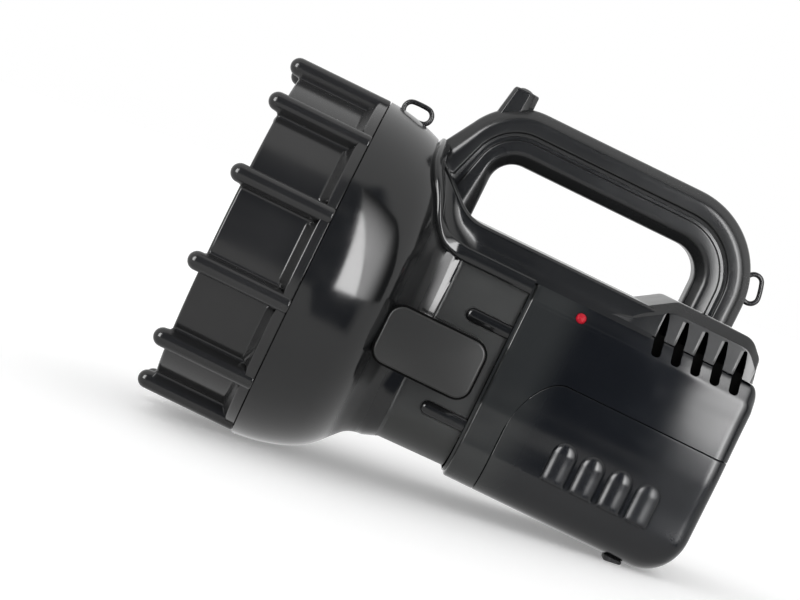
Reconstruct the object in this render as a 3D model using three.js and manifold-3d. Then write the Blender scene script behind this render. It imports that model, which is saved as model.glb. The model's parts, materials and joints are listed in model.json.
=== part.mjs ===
// Handheld searchlight with a round lamp head, a closed loop handle and a battery box behind it.
// Lengths are in millimetres. In the lamp's own frame +X runs along the beam axis to the rear and
// +Z points up; X = 0 is the seam behind the screw ring and Z = 0 is the beam axis.

import * as THREE from 'three';
import { mergeVertices } from 'three/addons/utils/BufferGeometryUtils.js';
import Module from 'manifold-3d';

const wasm = await Module();
wasm.setup();

// Clearances and walls shared by the mouldings
const gap = 0.3;
const slideGap = 0.5;
const overrun = 3;
const wall = 2.6;

// Numbers of facets
const headSides = 40;
const innerSides = 32;
const barSides = 12;
const smallSides = 16;

// Radius of the lamp head, which the screw ring, the lens, the neck and the handle follow
const headRadius = 91.4;

// Screw ring: depth from its front rim to the seam, bars, recessed panels and rear land
const ringDepth = 45.6;
const barCount = 12;
const barRadius = 4.65;
const barSink = 3.4;
const barPitchRadius = headRadius - barSink;
const barReach = 6.9;
const barPhase = THREE.MathUtils.degToRad(10.4);
const panelDepth = 7.4;
const panelRadius = headRadius - panelDepth;
const landStep = 0.8;
const landRadius = headRadius - landStep;
const landWidth = 5;
const landSlope = 4.5;
const rimRounding = 1.2;
const ringWall = 11;
const ringBore = headRadius - ringWall;
const ringLip = 3.4;
const lipHeight = 4.8;
const lensOpening = ringBore - lipHeight;

// Lens, gasket and reflector, stacked behind the ring's lip
const lensThickness = 3;
const lensCrown = 2.4;
const gasketThickness = 3;
const gasketWidth = 3.4;
const threadGap = 0.6;
const reflectorWall = 1.6;
const mouthStep = 1;
const reflectorMouth = lensOpening - mouthStep;
const reflectorDepth = 72;
const reflectorHole = 11;
const reflectorTube = 8;

// Bulb and its holder
const bulbBaseRadius = 6;
const bulbBaseLength = 16;
const bulbGlassRadius = 4.6;
const bulbGlassLength = 16;
const holderFlangeRadius = 16;
const holderFlange = 3;
const holderBossRadius = 9;
const holderBoss = 10;
const clipThickness = 1;

// Lamp head: arcs of its outline from the seam to the neck
const headRadiusX = -3.5;
const shoulderRise = 6.4;
const shoulderRadius = headRadius - shoulderRise;
const shoulderEnd = THREE.MathUtils.degToRad(21.7);
const turnRadius = 38;
const steepAngle = THREE.MathUtils.degToRad(50);
const steepLength = 8.6;
const footRadius = 14;
const footEnd = THREE.MathUtils.degToRad(4);
const bowlEndX = 64;
const neckStartX = 66;
const neckEndX = 100.5;
const neckInset = 42.9;
const neckHalfWidth = headRadius - neckInset;
const neckDrop = 31.6;
const neckStartHeight = headRadius - neckDrop;
const neckTaper = 0.8;
const neckEndHeight = neckStartHeight - neckTaper;
const bowlLip = 1.5;
const bowlEndHalfWidth = neckHalfWidth + bowlLip;
const neckSquareness = 4.2;
const neckTopZ = 36.9;
const neckOpenX = 62;
const restFlat = 0.35;

// Flat pocket, grip bars and blank plate on each side of the neck
const pocketDepth = 3;
const pocketHalfWidth = neckHalfWidth - pocketDepth;
const pocketRise = 16.5;
const pocketBottomZ = pocketRise - neckEndHeight;
const neckBarX = 77;
const neckBarHeight = 7.2;
const neckBarProud = 1.6;
const neckBarUpperZ = 15.9;
const neckBarLowerZ = -34;
const padFrontX = 43.5;
const padLength = 50;
const padBottomZ = -22.3;
const padHeight = 28.9;
const padCorner = 7;
const padThickness = 2.4;
const padProud = 25;
const padFace = neckHalfWidth + padProud;
const padEdge = 1;

// Deck and fairing under the handle
const crestX = 29.9;
const crestDrop = 9.4;
const crestZ = headRadius - crestDrop;
const rampEndX = 61;
const rampEndZ = 59.5;
const deckStartX = 64.5;
const deckTopZ = 57;
const deckInset = 3.5;
const deckHalfWidth = pocketHalfWidth - deckInset;
const deckWall = 3;
const lipZ = 37.2;
const ledgeZ = 43.4;
const lipProud = 3.2;
const bandWidth = 5.5;
const lipShares = [[0.595, 0.069], [0.416, 0.223], [0.321, 0.386], [0.243, 0.554], [0.133, 0.721],
  [0.026, 0.855]];

// Handle: rear bend, grip and front bend, and its section in two halves
const gripRise = 27.9;
const gripTopZ = headRadius + gripRise;
const gripThickness = 28.4;
const handleWidth = 27;
const handleWall = 2.6;
const rearBendRadius = 43.3;
const frontBendX = 72.8;
const frontBendRadius = 36;
const frontBendAngle = THREE.MathUtils.degToRad(28);
const frontLegInnerX = 60.1;
const lobeShares = [[0, 0.84], [0.08, 0.95], [0.3, 1], [0.62, 0.91], [0.86, 0.6], [1, 0.2]];
const liningShares = [[0, 0.84], [0.5, 0.96], [0.9, 0.4]];
const bendSteps = 7;
const legSteps = 2;

// Switch turret and button on the grip's front end
const turretFrontX = 49;
const turretTopFrontX = 52;
const turretRearX = 65;
const turretFrontDrop = 9.8;
const turretFrontZ = gripTopZ - turretFrontDrop;
const turretRise = 6.2;
const turretTopZ = gripTopZ + turretRise;
const turretHalfWidth = 9;
const turretChamfer = 2.5;
const buttonRadius = 4.4;
const buttonDome = 1.2;
const buttonTravel = 2.2;
const buttonCollar = 3;
const buttonStemRadius = 2;
const switchLength = 11;
const switchWidth = 9;
const switchHeight = 10;
const switchDrop = 8;

// Battery: a standard 6 V block
const batteryLength = 101;
const batteryWidth = 70;
const batteryHeight = 47;

// Battery box, as long as the battery with the room before and behind it
const boxFrontX = 100.8;
const batteryFrontRoom = 11.2;
const batteryRearRoom = 10;
const batteryFrontX = boxFrontX + batteryFrontRoom;
const boxRearX = batteryFrontX + batteryLength + batteryRearRoom;
const bendSetback = 65;
const rearBendX = boxRearX - bendSetback;
const boxTopZ = 44.6;
const shelfThickness = 2.5;
const shelfTopZ = -4;
const batteryTopZ = shelfTopZ - shelfThickness - gap;
const batteryLowZ = batteryTopZ - batteryHeight;
const batteryFloorRoom = 7.7;
const boxBottomZ = batteryLowZ - batteryFloorRoom;
const batterySideRoom = 15;
const boxHalfWidth = batteryWidth / 2 + batterySideRoom;
const shoulderInset = 4.5;
const boxTopHalfWidth = boxHalfWidth - shoulderInset;
const boxShoulderZ = 34.9;
const boxCornerRadius = 19.5;
const boxRearTop = 6;
const boxRearTopDrop = 12.6;
const boxCrown = 0.8;
const flangeOpeningWidth = 60;
const flangeOpeningHeight = 60;

// Battery cover
const coverSeamZ = 4.7;
const coverFrontX = 118;
const coverCorner = 19;
const coverCornerDrop = 31.7;
const coverGap = 0.4;
const ribCount = 4;
const firstRibSetback = 73;
const firstRibX = boxRearX - firstRibSetback;
const ribPitch = 14.9;
const ribWidth = 13;
const ribProud = 2.8;
const ribTopZ = -19.3;
const ribBottomZ = -40.4;

// Rubber feet under the cover
const footSetback = 32;
const footX = boxRearX - footSetback;
const footLength = 9;
const footHeight = 2.3;
const footInnerY = 22;
const footWidth = 14;

// Vented block under the handle's rear leg
const pedestalFrontSetback = 86.5;
const pedestalFrontX = boxRearX - pedestalFrontSetback;
const pedestalSlopeRun = 30.9;
const pedestalSlopeX = pedestalFrontX + pedestalSlopeRun;
const pedestalTopZ = 64.7;
const pedestalRearInset = 6.2;
const pedestalRearX = boxRearX - pedestalRearInset;
const pedestalRearRun = 11.8;
const pedestalTopEndX = pedestalRearX - pedestalRearRun;
const pedestalInset = 0.5;
const pedestalHalfWidth = boxTopHalfWidth - pedestalInset;
const pedestalBevel = 5.5;
const pedestalBevelDrop = 5.7;
const pedestalSideWall = 15;
const ventCount = 5;
const firstVentSetback = 57.4;
const firstVentX = boxRearX - firstVentSetback;
const ventPitch = 10.5;
const ventWidth = 3.8;
const ventTopZ = 57.5;
const ventBottomZ = 36.4;
const ventLean = 3.2;
const ventDepth = 12;

// Strap eyelets: long and short outer size of the wire loop, and how far it sits in the moulding
const eyeletLength = 17.3;
const eyeletHeight = 11;
const eyeletWire = 2.5;
const eyeletSunk = 2.9;
const frontEyeletX = 14;
const rearEyeletAngle = THREE.MathUtils.degToRad(13.4);

// Charge lamp, socket and cap
const ledX = 128;
const ledRadius = 2.5;
const ledProud = 1.6;
const ledRise = 0.25;
const ledLength = 7;
const socketZ = 21;
const socketRadius = 5.8;
const socketBore = 3.9;
const socketLength = 14;
const socketBoss = 7;
const capHalfSize = 8.6;
const capThickness = 1.8;
const capKnuckleRadius = 1.1;
const capKnuckleLength = 8;
const capHingeRise = 10.6;
const capPinRadius = 0.5;
const capPinLength = 13;

// Shelf, band and board
const terminalSize = 5;
const bandWidthX = 16;
const bandThickness = 1.2;
const boardLength = 60;
const boardWidth = 50;
const boardThickness = 1.6;
const boardStand = 4;
const boardPartHeight = 12;

// Wires and screws
const wireRadius = 1.6;
const wireSides = 6;
const screwRadius = 1.5;
const screwHeadRadius = 3.2;
const screwHeadHeight = 2.2;
const screwLength = 12;
const bossRadius = 4;
const neckScrewInset = 16.5;
const neckScrewY = neckHalfWidth - neckScrewInset;
const neckScrewDrop = 8.9;
const neckScrewUpperZ = neckTopZ - neckScrewDrop;
const neckScrewRise = 19;
const neckScrewLowerZ = neckScrewRise - neckEndHeight;
const handleScrewSetbacks = [19.2, 12];
const handleScrewXs = [frontBendX + handleScrewSetbacks[0], rearBendX - handleScrewSetbacks[1]];

// Materials
function coloured(color, roughness = 0.5) {
  return new THREE.MeshStandardMaterial({ color, roughness, metalness: 0 });
}
const plastic = (roughness = 0.22) => coloured(0x1c1d1f, roughness);
const rubber = () => coloured(0x141414, 0.75);
const steel = () => new THREE.MeshStandardMaterial({ color: 0xb9bcc0, roughness: 0.3, metalness: 1 });
const mirror = () => new THREE.MeshStandardMaterial({ color: 0xe6e8ea, roughness: 0.08, metalness: 1 });
const clear = () => new THREE.MeshStandardMaterial({
  color: 0xeef4f6, roughness: 0.05, metalness: 0, transparent: true, opacity: 0.3,
});

// Turns a closed three.js geometry into a solid
function solid(geometry) {
  const bare = geometry.clone();
  for (const name of Object.keys(bare.attributes)) {
    if (name !== 'position') bare.deleteAttribute(name);
  }
  const merged = mergeVertices(bare);
  const index = merged.index.array;
  const kept = [];
  for (let i = 0; i < index.length; i += 3) {
    const [a, b, c] = [index[i], index[i + 1], index[i + 2]];
    if (a !== b && b !== c && c !== a) kept.push(a, b, c);
  }
  return new wasm.Manifold(new wasm.Mesh({
    numProp: 3,
    vertProperties: new Float32Array(merged.attributes.position.array),
    triVerts: new Uint32Array(kept),
  }));
}

// Turns a solid back into a three.js geometry
function geometryOf(body) {
  const mesh = body.getMesh();
  const geometry = new THREE.BufferGeometry();
  geometry.setAttribute('position', new THREE.BufferAttribute(new Float32Array(mesh.vertProperties), 3));
  geometry.setIndex(new THREE.BufferAttribute(new Uint32Array(mesh.triVerts), 1));
  geometry.computeVertexNormals();
  return geometry;
}

// Joins a list of solids into one
const join = (bodies) => bodies.reduce((whole, body) => whole.add(body));

const outline = (points) => new THREE.Shape(points.map(([a, b]) => new THREE.Vector2(a, b)));

// Prism of a side outline (X, Z) between two values of Y
function sidePrism(shape, lowY, highY, curveSegments = 6) {
  const depth = highY - lowY;
  const geometry = new THREE.ExtrudeGeometry(shape, { depth, bevelEnabled: false, curveSegments });
  const axes = [new THREE.Vector3(1, 0, 0), new THREE.Vector3(0, 0, 1), new THREE.Vector3(0, -1, 0)];
  geometry.applyMatrix4(new THREE.Matrix4().makeBasis(...axes));
  return solid(geometry.translate(0, highY, 0));
}

// Prism of a front outline (Y, Z) between two values of X
function crossPrism(shape, lowX, highX, curveSegments = 6) {
  const depth = highX - lowX;
  const geometry = new THREE.ExtrudeGeometry(shape, { depth, bevelEnabled: false, curveSegments });
  const axes = [new THREE.Vector3(0, 1, 0), new THREE.Vector3(0, 0, 1), new THREE.Vector3(1, 0, 0)];
  geometry.applyMatrix4(new THREE.Matrix4().makeBasis(...axes));
  return solid(geometry.translate(lowX, 0, 0));
}

function box(lowX, highX, lowY, highY, lowZ, highZ) {
  const geometry = new THREE.BoxGeometry(highX - lowX, highY - lowY, highZ - lowZ);
  return solid(geometry.translate((lowX + highX) / 2, (lowY + highY) / 2, (lowZ + highZ) / 2));
}

// Body turned about the X axis from [x, radius] points; an open profile starts and ends on the axis
function turned(points, sides = headSides, looped = true) {
  const profile = points.map(([x, radius]) => new THREE.Vector2(radius, x));
  if (looped) profile.push(profile[0].clone());
  const geometry = new THREE.LatheGeometry(profile, sides);
  geometry.rotateZ(-Math.PI / 2);
  return upright(solid(geometry), geometry);
}

// Turns a body's faces outwards when its profile ran the other way round
function upright(body, geometry) {
  if (body.volume() > 0) return body;
  const flipped = geometry.index ? geometry.toNonIndexed() : geometry.clone();
  const position = flipped.attributes.position;
  const swap = new THREE.Vector3();
  const other = new THREE.Vector3();
  for (let i = 0; i < position.count; i += 3) {
    swap.fromBufferAttribute(position, i + 1);
    other.fromBufferAttribute(position, i + 2);
    position.setXYZ(i + 1, other.x, other.y, other.z);
    position.setXYZ(i + 2, swap.x, swap.y, swap.z);
  }
  return solid(flipped);
}

// Body through rings of points; a looped one closes on its first ring, another is capped by `section`
function loft(rings, section = null) {
  const count = rings[0].length;
  const positions = rings.flat().flatMap((point) => [point.x, point.y, point.z]);
  const index = [];
  const spans = section ? rings.length - 1 : rings.length;
  for (let i = 0; i < spans; i += 1) {
    const here = i * count;
    const next = ((i + 1) % rings.length) * count;
    for (let j = 0; j < count; j += 1) {
      const k = (j + 1) % count;
      index.push(here + j, here + k, next + k, here + j, next + k, next + j);
    }
  }
  if (section) {
    const last = (rings.length - 1) * count;
    const clockwise = THREE.ShapeUtils.isClockWise(section);
    for (const face of THREE.ShapeUtils.triangulateShape(section, [])) {
      const same = THREE.ShapeUtils.isClockWise(face.map((at) => section[at])) === clockwise;
      const [a, b, c] = same ? face : face.toReversed();
      index.push(c, b, a, last + a, last + b, last + c);
    }
  }
  const geometry = new THREE.BufferGeometry();
  geometry.setAttribute('position', new THREE.Float32BufferAttribute(positions, 3));
  geometry.setIndex(index);
  return upright(solid(geometry), geometry);
}

function cylinder(radius, length, sides = smallSides) {
  return new THREE.CylinderGeometry(radius, radius, length, sides);
}

// Closed round wire along a curve that ends where it starts
function wireLoop(curve, radius, steps, sides) {
  const rings = [];
  const across = new THREE.Vector3(0, 1, 0);
  for (let i = 0; i < steps; i += 1) {
    const centre = curve.getPointAt(i / steps);
    const side = curve.getTangentAt(i / steps).cross(across).normalize();
    const ring = [];
    for (let j = 0; j < sides; j += 1) {
      const angle = (2 * Math.PI * j) / sides;
      const point = centre.clone().addScaledVector(side, radius * Math.cos(angle));
      ring.push(point.addScaledVector(across, radius * Math.sin(angle)));
    }
    rings.push(ring);
  }
  return loft(rings);
}

// Wire through the given points, with flat ends
function wireAlong(points, radius) {
  const curve = new THREE.CatmullRomCurve3(points.map((point) => new THREE.Vector3(...point)));
  const shape = new THREE.Shape();
  for (let j = 0; j < wireSides; j += 1) {
    const angle = (2 * Math.PI * j) / wireSides;
    const [a, b] = [radius * Math.cos(angle), radius * Math.sin(angle)];
    if (j === 0) shape.moveTo(a, b);
    else shape.lineTo(a, b);
  }
  const steps = points.length * 3;
  return solid(new THREE.ExtrudeGeometry(shape, { steps, extrudePath: curve, bevelEnabled: false }));
}

// Screw along +X with its head at the origin side
function screwAlongX(headX, length, direction) {
  const shank = headX + direction * length;
  const head = headX - direction * screwHeadHeight;
  return turned([[head, 0], [head, screwHeadRadius], [headX, screwHeadRadius], [headX, screwRadius],
    [shank, screwRadius], [shank, 0]], smallSides / 2, false);
}

const lamp = new THREE.Group();

function addPart(name, body, material) {
  const mesh = new THREE.Mesh(geometryOf(body), material);
  mesh.name = name;
  lamp.add(mesh);
}

// Places along the beam axis of the stack behind the ring's lip
const rimX = -ringDepth;
const lensFrontX = rimX + ringLip + gap;
const lensBackX = lensFrontX + lensThickness;
const gasketFrontX = lensBackX + gap;
const gasketBackX = gasketFrontX + gasketThickness;
const flangeFrontX = gasketBackX + gap;
const flangeBackX = flangeFrontX + reflectorWall;
const collarFrontX = flangeBackX + gap;
const stackRadius = ringBore - threadGap;
const collarInner = stackRadius - wall;

// Outline of the head, as [x, radius] points from the seam to the neck
function headOutline() {
  const points = [];
  const addArc = (centreX, centreR, radius, from, to, steps, sign) => {
    for (let i = 1; i <= steps; i += 1) {
      const angle = from + ((to - from) * i) / steps;
      points.push([centreX + sign * radius * Math.sin(angle), centreR + sign * radius * Math.cos(angle)]);
    }
  };
  const start = Math.asin((gap - headRadiusX) / shoulderRadius);
  const shoulderCentreR = headRadius - shoulderRadius;
  points.push([gap, shoulderCentreR + shoulderRadius * Math.cos(start)]);
  addArc(headRadiusX, shoulderCentreR, shoulderRadius, start, shoulderEnd, 4, 1);
  const turnX = headRadiusX + (shoulderRadius - turnRadius) * Math.sin(shoulderEnd);
  const turnR = shoulderCentreR + (shoulderRadius - turnRadius) * Math.cos(shoulderEnd);
  addArc(turnX, turnR, turnRadius, shoulderEnd, steepAngle, 3, 1);
  const [lineX, lineR] = points.at(-1);
  const footX0 = lineX + steepLength * Math.cos(steepAngle);
  const footR0 = lineR - steepLength * Math.sin(steepAngle);
  points.push([footX0, footR0]);
  const centreX = footX0 + footRadius * Math.sin(steepAngle);
  const centreR = footR0 + footRadius * Math.cos(steepAngle);
  addArc(centreX, centreR, footRadius, steepAngle, footEnd, 4, -1);
  return points;
}

const bowl = headOutline();
const bowlFoot = bowl.at(-1);

// Radius of the head's outline at a place along the axis
function headRadiusAt(x) {
  const at = bowl.findIndex(([px]) => px > x);
  const [x0, r0] = bowl[Math.max(at - 1, 0)];
  const [x1, r1] = bowl[Math.max(at, 1)];
  return r0 + ((r1 - r0) * (x - x0)) / (x1 - x0);
}

// Ring of the head or neck: a circle that turns into a rounded square
function headRing(x, halfWidth, halfHeight, squareness) {
  const ring = [];
  for (let j = 0; j < headSides; j += 1) {
    const angle = (2 * Math.PI * j) / headSides;
    const across = Math.abs(Math.cos(angle) / halfWidth) ** squareness;
    const up = Math.abs(Math.sin(angle) / halfHeight) ** squareness;
    const reach = (across + up) ** (-1 / squareness);
    ring.push(new THREE.Vector3(x, reach * Math.cos(angle), reach * Math.sin(angle)));
  }
  return ring;
}

// Rings of the head's outside, grown by an offset; a negative one gives the inside, with fewer rings
function headRings(grow, fromX) {
  const morphStart = bowl.at(-6)[0];
  const ease = (x) => THREE.MathUtils.smoothstep(x, morphStart, bowlEndX);
  const rings = [];
  for (const [at, [x, radius]] of bowl.entries()) {
    if (x < fromX || (grow < 0 && at % 2 === 1)) continue;
    const blend = ease(x);
    const half = radius + (bowlEndHalfWidth - bowlFoot[1]) * blend;
    rings.push(headRing(x, half + grow, radius + grow, 2 + (neckSquareness - 2) * blend));
  }
  const neckGrow = grow < 0 ? grow - (neckHalfWidth - pocketHalfWidth) : grow;
  const bowlEndHeight = neckStartHeight + (bowlFoot[1] - neckStartHeight) / 4;
  rings.push(headRing(bowlEndX, bowlEndHalfWidth + neckGrow, bowlEndHeight + grow, neckSquareness));
  rings.push(headRing(neckStartX, neckHalfWidth + neckGrow, neckStartHeight + grow, neckSquareness));
  rings.push(headRing(neckEndX, neckHalfWidth + neckGrow, neckEndHeight + grow, neckSquareness));
  return rings;
}

// Outside of the head as one filled body, with the neck's top cut away, grown by an offset
function headEnvelope(grow) {
  const rings = headRings(grow, gap);
  rings.push(headRing(neckEndX + overrun, neckHalfWidth + grow, neckEndHeight + grow, neckSquareness));
  const front = rings[0].map((point) => new THREE.Vector2(point.y, point.z));
  const body = loft(rings, front);
  const half = headRadius + overrun;
  return body.subtract(box(neckOpenX + grow, neckEndX + 2 * overrun, -half, half, neckTopZ + grow, half));
}

function roundedRectangle(lowX, highX, lowZ, highZ, corner) {
  const shape = new THREE.Shape();
  shape.moveTo(lowX + corner, lowZ);
  shape.lineTo(highX - corner, lowZ);
  shape.absarc(highX - corner, lowZ + corner, corner, -Math.PI / 2, 0);
  shape.lineTo(highX, highZ - corner);
  shape.absarc(highX - corner, highZ - corner, corner, 0, Math.PI / 2);
  shape.lineTo(lowX + corner, highZ);
  shape.absarc(lowX + corner, highZ - corner, corner, Math.PI / 2, Math.PI);
  shape.lineTo(lowX, lowZ + corner);
  shape.absarc(lowX + corner, lowZ + corner, corner, Math.PI, 1.5 * Math.PI);
  return shape;
}

const padShape = (grow) => roundedRectangle(padFrontX - grow, padFrontX + padLength + grow,
  padBottomZ - grow, padBottomZ + padHeight + grow, padCorner + grow);

// Spans in Y of a feature on each side: the near side is -Y
const bothSides = (inner, outer) => [[-outer, -inner], [inner, outer]];

// Tilt of the lamp at rest, on the head's underside and the two feet
const footMidX = footX + footLength / 2;
const footFloorZ = boxBottomZ - footHeight;
const restRadius = shoulderRadius - restFlat;
const toFootX = footMidX - headRadiusX;
const toFootZ = -(headRadius - shoulderRadius) - footFloorZ;
const tilt = Math.asin(restRadius / Math.hypot(toFootX, toFootZ)) - Math.atan2(toFootZ, toFootX);

// Height of the floor under the lamp, in the lamp's frame
const floorAt = (x) => footFloorZ + (x - footMidX) * Math.tan(tilt);

function buildHeadShell() {
  const outer = headRings(0, gap);
  const inner = headRings(-wall, gap + wall).reverse();
  const collar = [
    headRing(collarFrontX, collarInner, collarInner, 2),
    headRing(collarFrontX, stackRadius, stackRadius, 2),
    headRing(gap, stackRadius, stackRadius, 2),
  ];
  const innerFront = headRadiusAt(gap + wall) - wall;
  const back = [
    headRing(gap + wall, innerFront, innerFront, 2),
    headRing(gap + wall, collarInner, collarInner, 2),
  ];
  let body = loft([...collar, ...outer, ...inner, ...back]);
  const half = headRadius + overrun;
  const reach = neckEndX + overrun;
  body = body.subtract(box(neckOpenX, reach, -half, half, neckTopZ, half));
  const envelope = headEnvelope(0);
  for (const [low, high] of bothSides(pocketHalfWidth, half)) {
    body = body.subtract(box(bowlEndX, reach, low, high, pocketBottomZ, half));
  }
  for (const [low, high] of bothSides(pocketHalfWidth - wall / 2, padFace - padThickness - gap)) {
    const pedestal = sidePrism(padShape(0), low, high, 3);
    body = body.add(pedestal);
  }
  for (const [low, high] of bothSides(pocketHalfWidth - 2 * wall, padFace - padThickness - wall)) {
    const hollow = sidePrism(padShape(-wall), low, high, 3);
    body = body.subtract(hollow);
  }
  for (const [low, high] of bothSides(padFace - padThickness - gap, half)) {
    const opening = sidePrism(padShape(gap), low, high, 3);
    body = body.subtract(opening);
  }
  for (const z of [neckBarUpperZ, neckBarLowerZ]) {
    const bar = roundedRectangle(neckBarX, neckEndX + neckBarHeight, z - neckBarHeight / 2,
      z + neckBarHeight / 2, neckBarHeight / 2);
    for (const [low, high] of bothSides(pocketHalfWidth - wall / 2, pocketHalfWidth + neckBarProud)) {
      const beyond = box(neckEndX, reach + neckBarHeight, low, high, -half, half);
      body = body.add(sidePrism(bar, low, high, 3).subtract(beyond));
    }
  }
  for (const [y, z] of neckScrewPlaces) {
    const boss = solid(cylinder(bossRadius, screwLength, smallSides / 2).rotateZ(Math.PI / 2)
      .translate(neckEndX - screwLength / 2, y, z));
    const rest = box(neckEndX - screwLength, neckEndX, Math.min(y, Math.sign(y) * pocketHalfWidth),
      Math.max(y, Math.sign(y) * pocketHalfWidth), z - bossRadius / 2, z + bossRadius / 2);
    body = body.add(boss.add(rest).intersect(envelope));
    body = body.subtract(solid(cylinder(screwRadius + gap, 2 * screwLength, smallSides / 2)
      .rotateZ(Math.PI / 2).translate(neckEndX, y, z)));
  }
  const flat = solid(new THREE.BoxGeometry(2 * headRadius, headRadius, overrun)
    .translate(0, 0, -overrun / 2).rotateY(-tilt).translate(0, 0, floorAt(0)));
  return body.subtract(flat).subtract(eyeletLoop(frontEyelet(), gap));
}

const neckScrewPlaces = [[-neckScrewY, neckScrewUpperZ], [neckScrewY, neckScrewUpperZ],
  [-neckScrewY, neckScrewLowerZ], [neckScrewY, neckScrewLowerZ]];

// Middle line of a strap eyelet: an oval in the plane Y = 0, `out` points away from the moulding
function eyeletCurve(baseX, baseZ, angle) {
  const long = eyeletLength / 2 - eyeletHeight / 2;
  const round = eyeletHeight / 2 - eyeletWire / 2;
  const out = new THREE.Vector3(Math.cos(angle), 0, Math.sin(angle));
  const along = new THREE.Vector3(-Math.sin(angle), 0, Math.cos(angle));
  const centre = new THREE.Vector3(baseX, 0, baseZ).addScaledVector(out, eyeletHeight / 2 - eyeletSunk);
  const point = (a, b) => centre.clone().addScaledVector(along, a).addScaledVector(out, b);
  const points = [];
  for (let i = 0; i < eyeletTurns; i += 1) {
    const turn = (2 * Math.PI * i) / eyeletTurns;
    points.push(point(long * Math.sign(Math.cos(turn)) + round * Math.cos(turn), round * Math.sin(turn)));
  }
  return new THREE.CatmullRomCurve3(points, true, 'catmullrom', 0.4);
}

const eyeletTurns = 10;
const frontEyelet = () => eyeletCurve(frontEyeletX, headRadiusAt(frontEyeletX), Math.PI / 2);
const rearEyelet = () => eyeletCurve(rearBendX + rearBendRadius * Math.cos(rearEyeletAngle),
  gripTopZ - rearBendRadius + rearBendRadius * Math.sin(rearEyeletAngle), rearEyeletAngle);
const eyeletLoop = (curve, grow) => wireLoop(curve, eyeletWire / 2 + grow, 2 * eyeletTurns, 6);

function buildBezelRing() {
  const landFront = -landWidth;
  const drum = turned([
    [rimX, lensOpening + rimRounding], [rimX, panelRadius - rimRounding], [rimX + rimRounding, panelRadius],
    [landFront - landSlope, panelRadius], [landFront, landRadius], [0, landRadius], [0, ringBore],
    [rimX + ringLip, ringBore], [rimX + ringLip, lensOpening], [rimX + rimRounding, lensOpening],
  ]);
  const bars = [];
  for (let i = 0; i < barCount; i += 1) {
    const tipX = rimX - barReach;
    const noseX = tipX + barRadius;
    const slant = barRadius * Math.SQRT1_2;
    const bar = turned([[tipX, 0], [noseX - slant, slant], [noseX, barRadius], [0, barRadius], [0, 0]],
      barSides, false);
    const angle = barPhase + (2 * Math.PI * i) / barCount;
    bars.push(bar.translate([0, 0, -barPitchRadius]).rotate([THREE.MathUtils.radToDeg(angle), 0, 0]));
  }
  const bore = turned([[rimX - barReach - overrun, 0], [rimX - barReach - overrun, ringBore],
    [overrun, ringBore], [overrun, 0]], headSides, false);
  return join(bars).subtract(bore).add(drum);
}

function buildLens() {
  const rise = (radius) => lensCrown * (1 - (radius / lensOpening) ** 2);
  const front = [0, 0.5, 0.8, 1].map((share) => share * (lensOpening - gap));
  return turned([
    ...front.map((radius) => [lensFrontX - rise(radius), radius]),
    [lensFrontX, stackRadius], [lensBackX, stackRadius],
    ...front.toReversed().map((radius) => [lensBackX - rise(radius), radius]),
  ], innerSides, false);
}

// Parabola of the reflector, as [x, radius], pushed back along its normal by an offset
function reflectorPoint(radius, offset) {
  const focal = reflectorMouth ** 2 / (4 * reflectorDepth);
  const slope = radius / (2 * focal);
  const step = offset / Math.hypot(1, slope);
  const vertexX = flangeFrontX + reflectorDepth;
  return [vertexX - radius ** 2 / (4 * focal) + step, radius + step * slope];
}

const reflectorEndX = flangeFrontX + reflectorDepth + reflectorTube;

function buildReflector() {
  const shares = [0, 0.16, 0.36, 0.6, 0.82, 1];
  const radii = shares.map((share) => reflectorHole + share * (reflectorMouth - reflectorHole));
  const inner = radii.map((radius) => reflectorPoint(radius, 0));
  const outer = radii.map((radius) => reflectorPoint(radius, reflectorWall)).reverse();
  outer[0] = [flangeBackX, reflectorPoint(reflectorMouth, reflectorWall)[1] + gap];
  outer[outer.length - 1] = [outer.at(-1)[0] + gap, reflectorHole + reflectorWall];
  return turned([...inner, [flangeFrontX, stackRadius], [flangeBackX, stackRadius], ...outer,
    [reflectorEndX, reflectorHole + reflectorWall], [reflectorEndX, reflectorHole]], innerSides);
}

const holderFrontX = reflectorEndX + gap;
const holderPlugX = reflectorEndX - reflectorTube / 2;
const holderBackX = holderFrontX + holderFlange;

function buildBulbHolder() {
  const bore = bulbBaseRadius + gap;
  const plug = [[holderPlugX, bore], [holderPlugX, reflectorHole - gap], [holderFrontX, reflectorHole - gap]];
  const flange = [[holderFrontX, holderFlangeRadius], [holderBackX, holderFlangeRadius]];
  const boss = [[holderBackX, holderBossRadius], [holderBackX + holderBoss, holderBossRadius],
    [holderBackX + holderBoss, bore]];
  return turned([...plug, ...flange, ...boss], smallSides);
}

function buildBulb() {
  const backX = holderBackX + holderBoss / 2;
  const baseX = backX - bulbBaseLength;
  const glassX = baseX - bulbGlassLength;
  const glass = [[glassX, 0], [glassX, bulbGlassRadius / 2], [glassX + bulbGlassRadius / 2, bulbGlassRadius]];
  const base = [[baseX, bulbGlassRadius], [baseX, bulbBaseRadius], [backX, bulbBaseRadius], [backX, 0]];
  return turned([...glass, ...base], smallSides, false);
}

function buildBulbClip() {
  const front = holderBackX + gap;
  const inner = holderBossRadius + gap;
  return turned([[front, inner], [front, holderFlangeRadius], [front + clipThickness, holderFlangeRadius],
    [front + clipThickness, inner]], smallSides);
}

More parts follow.
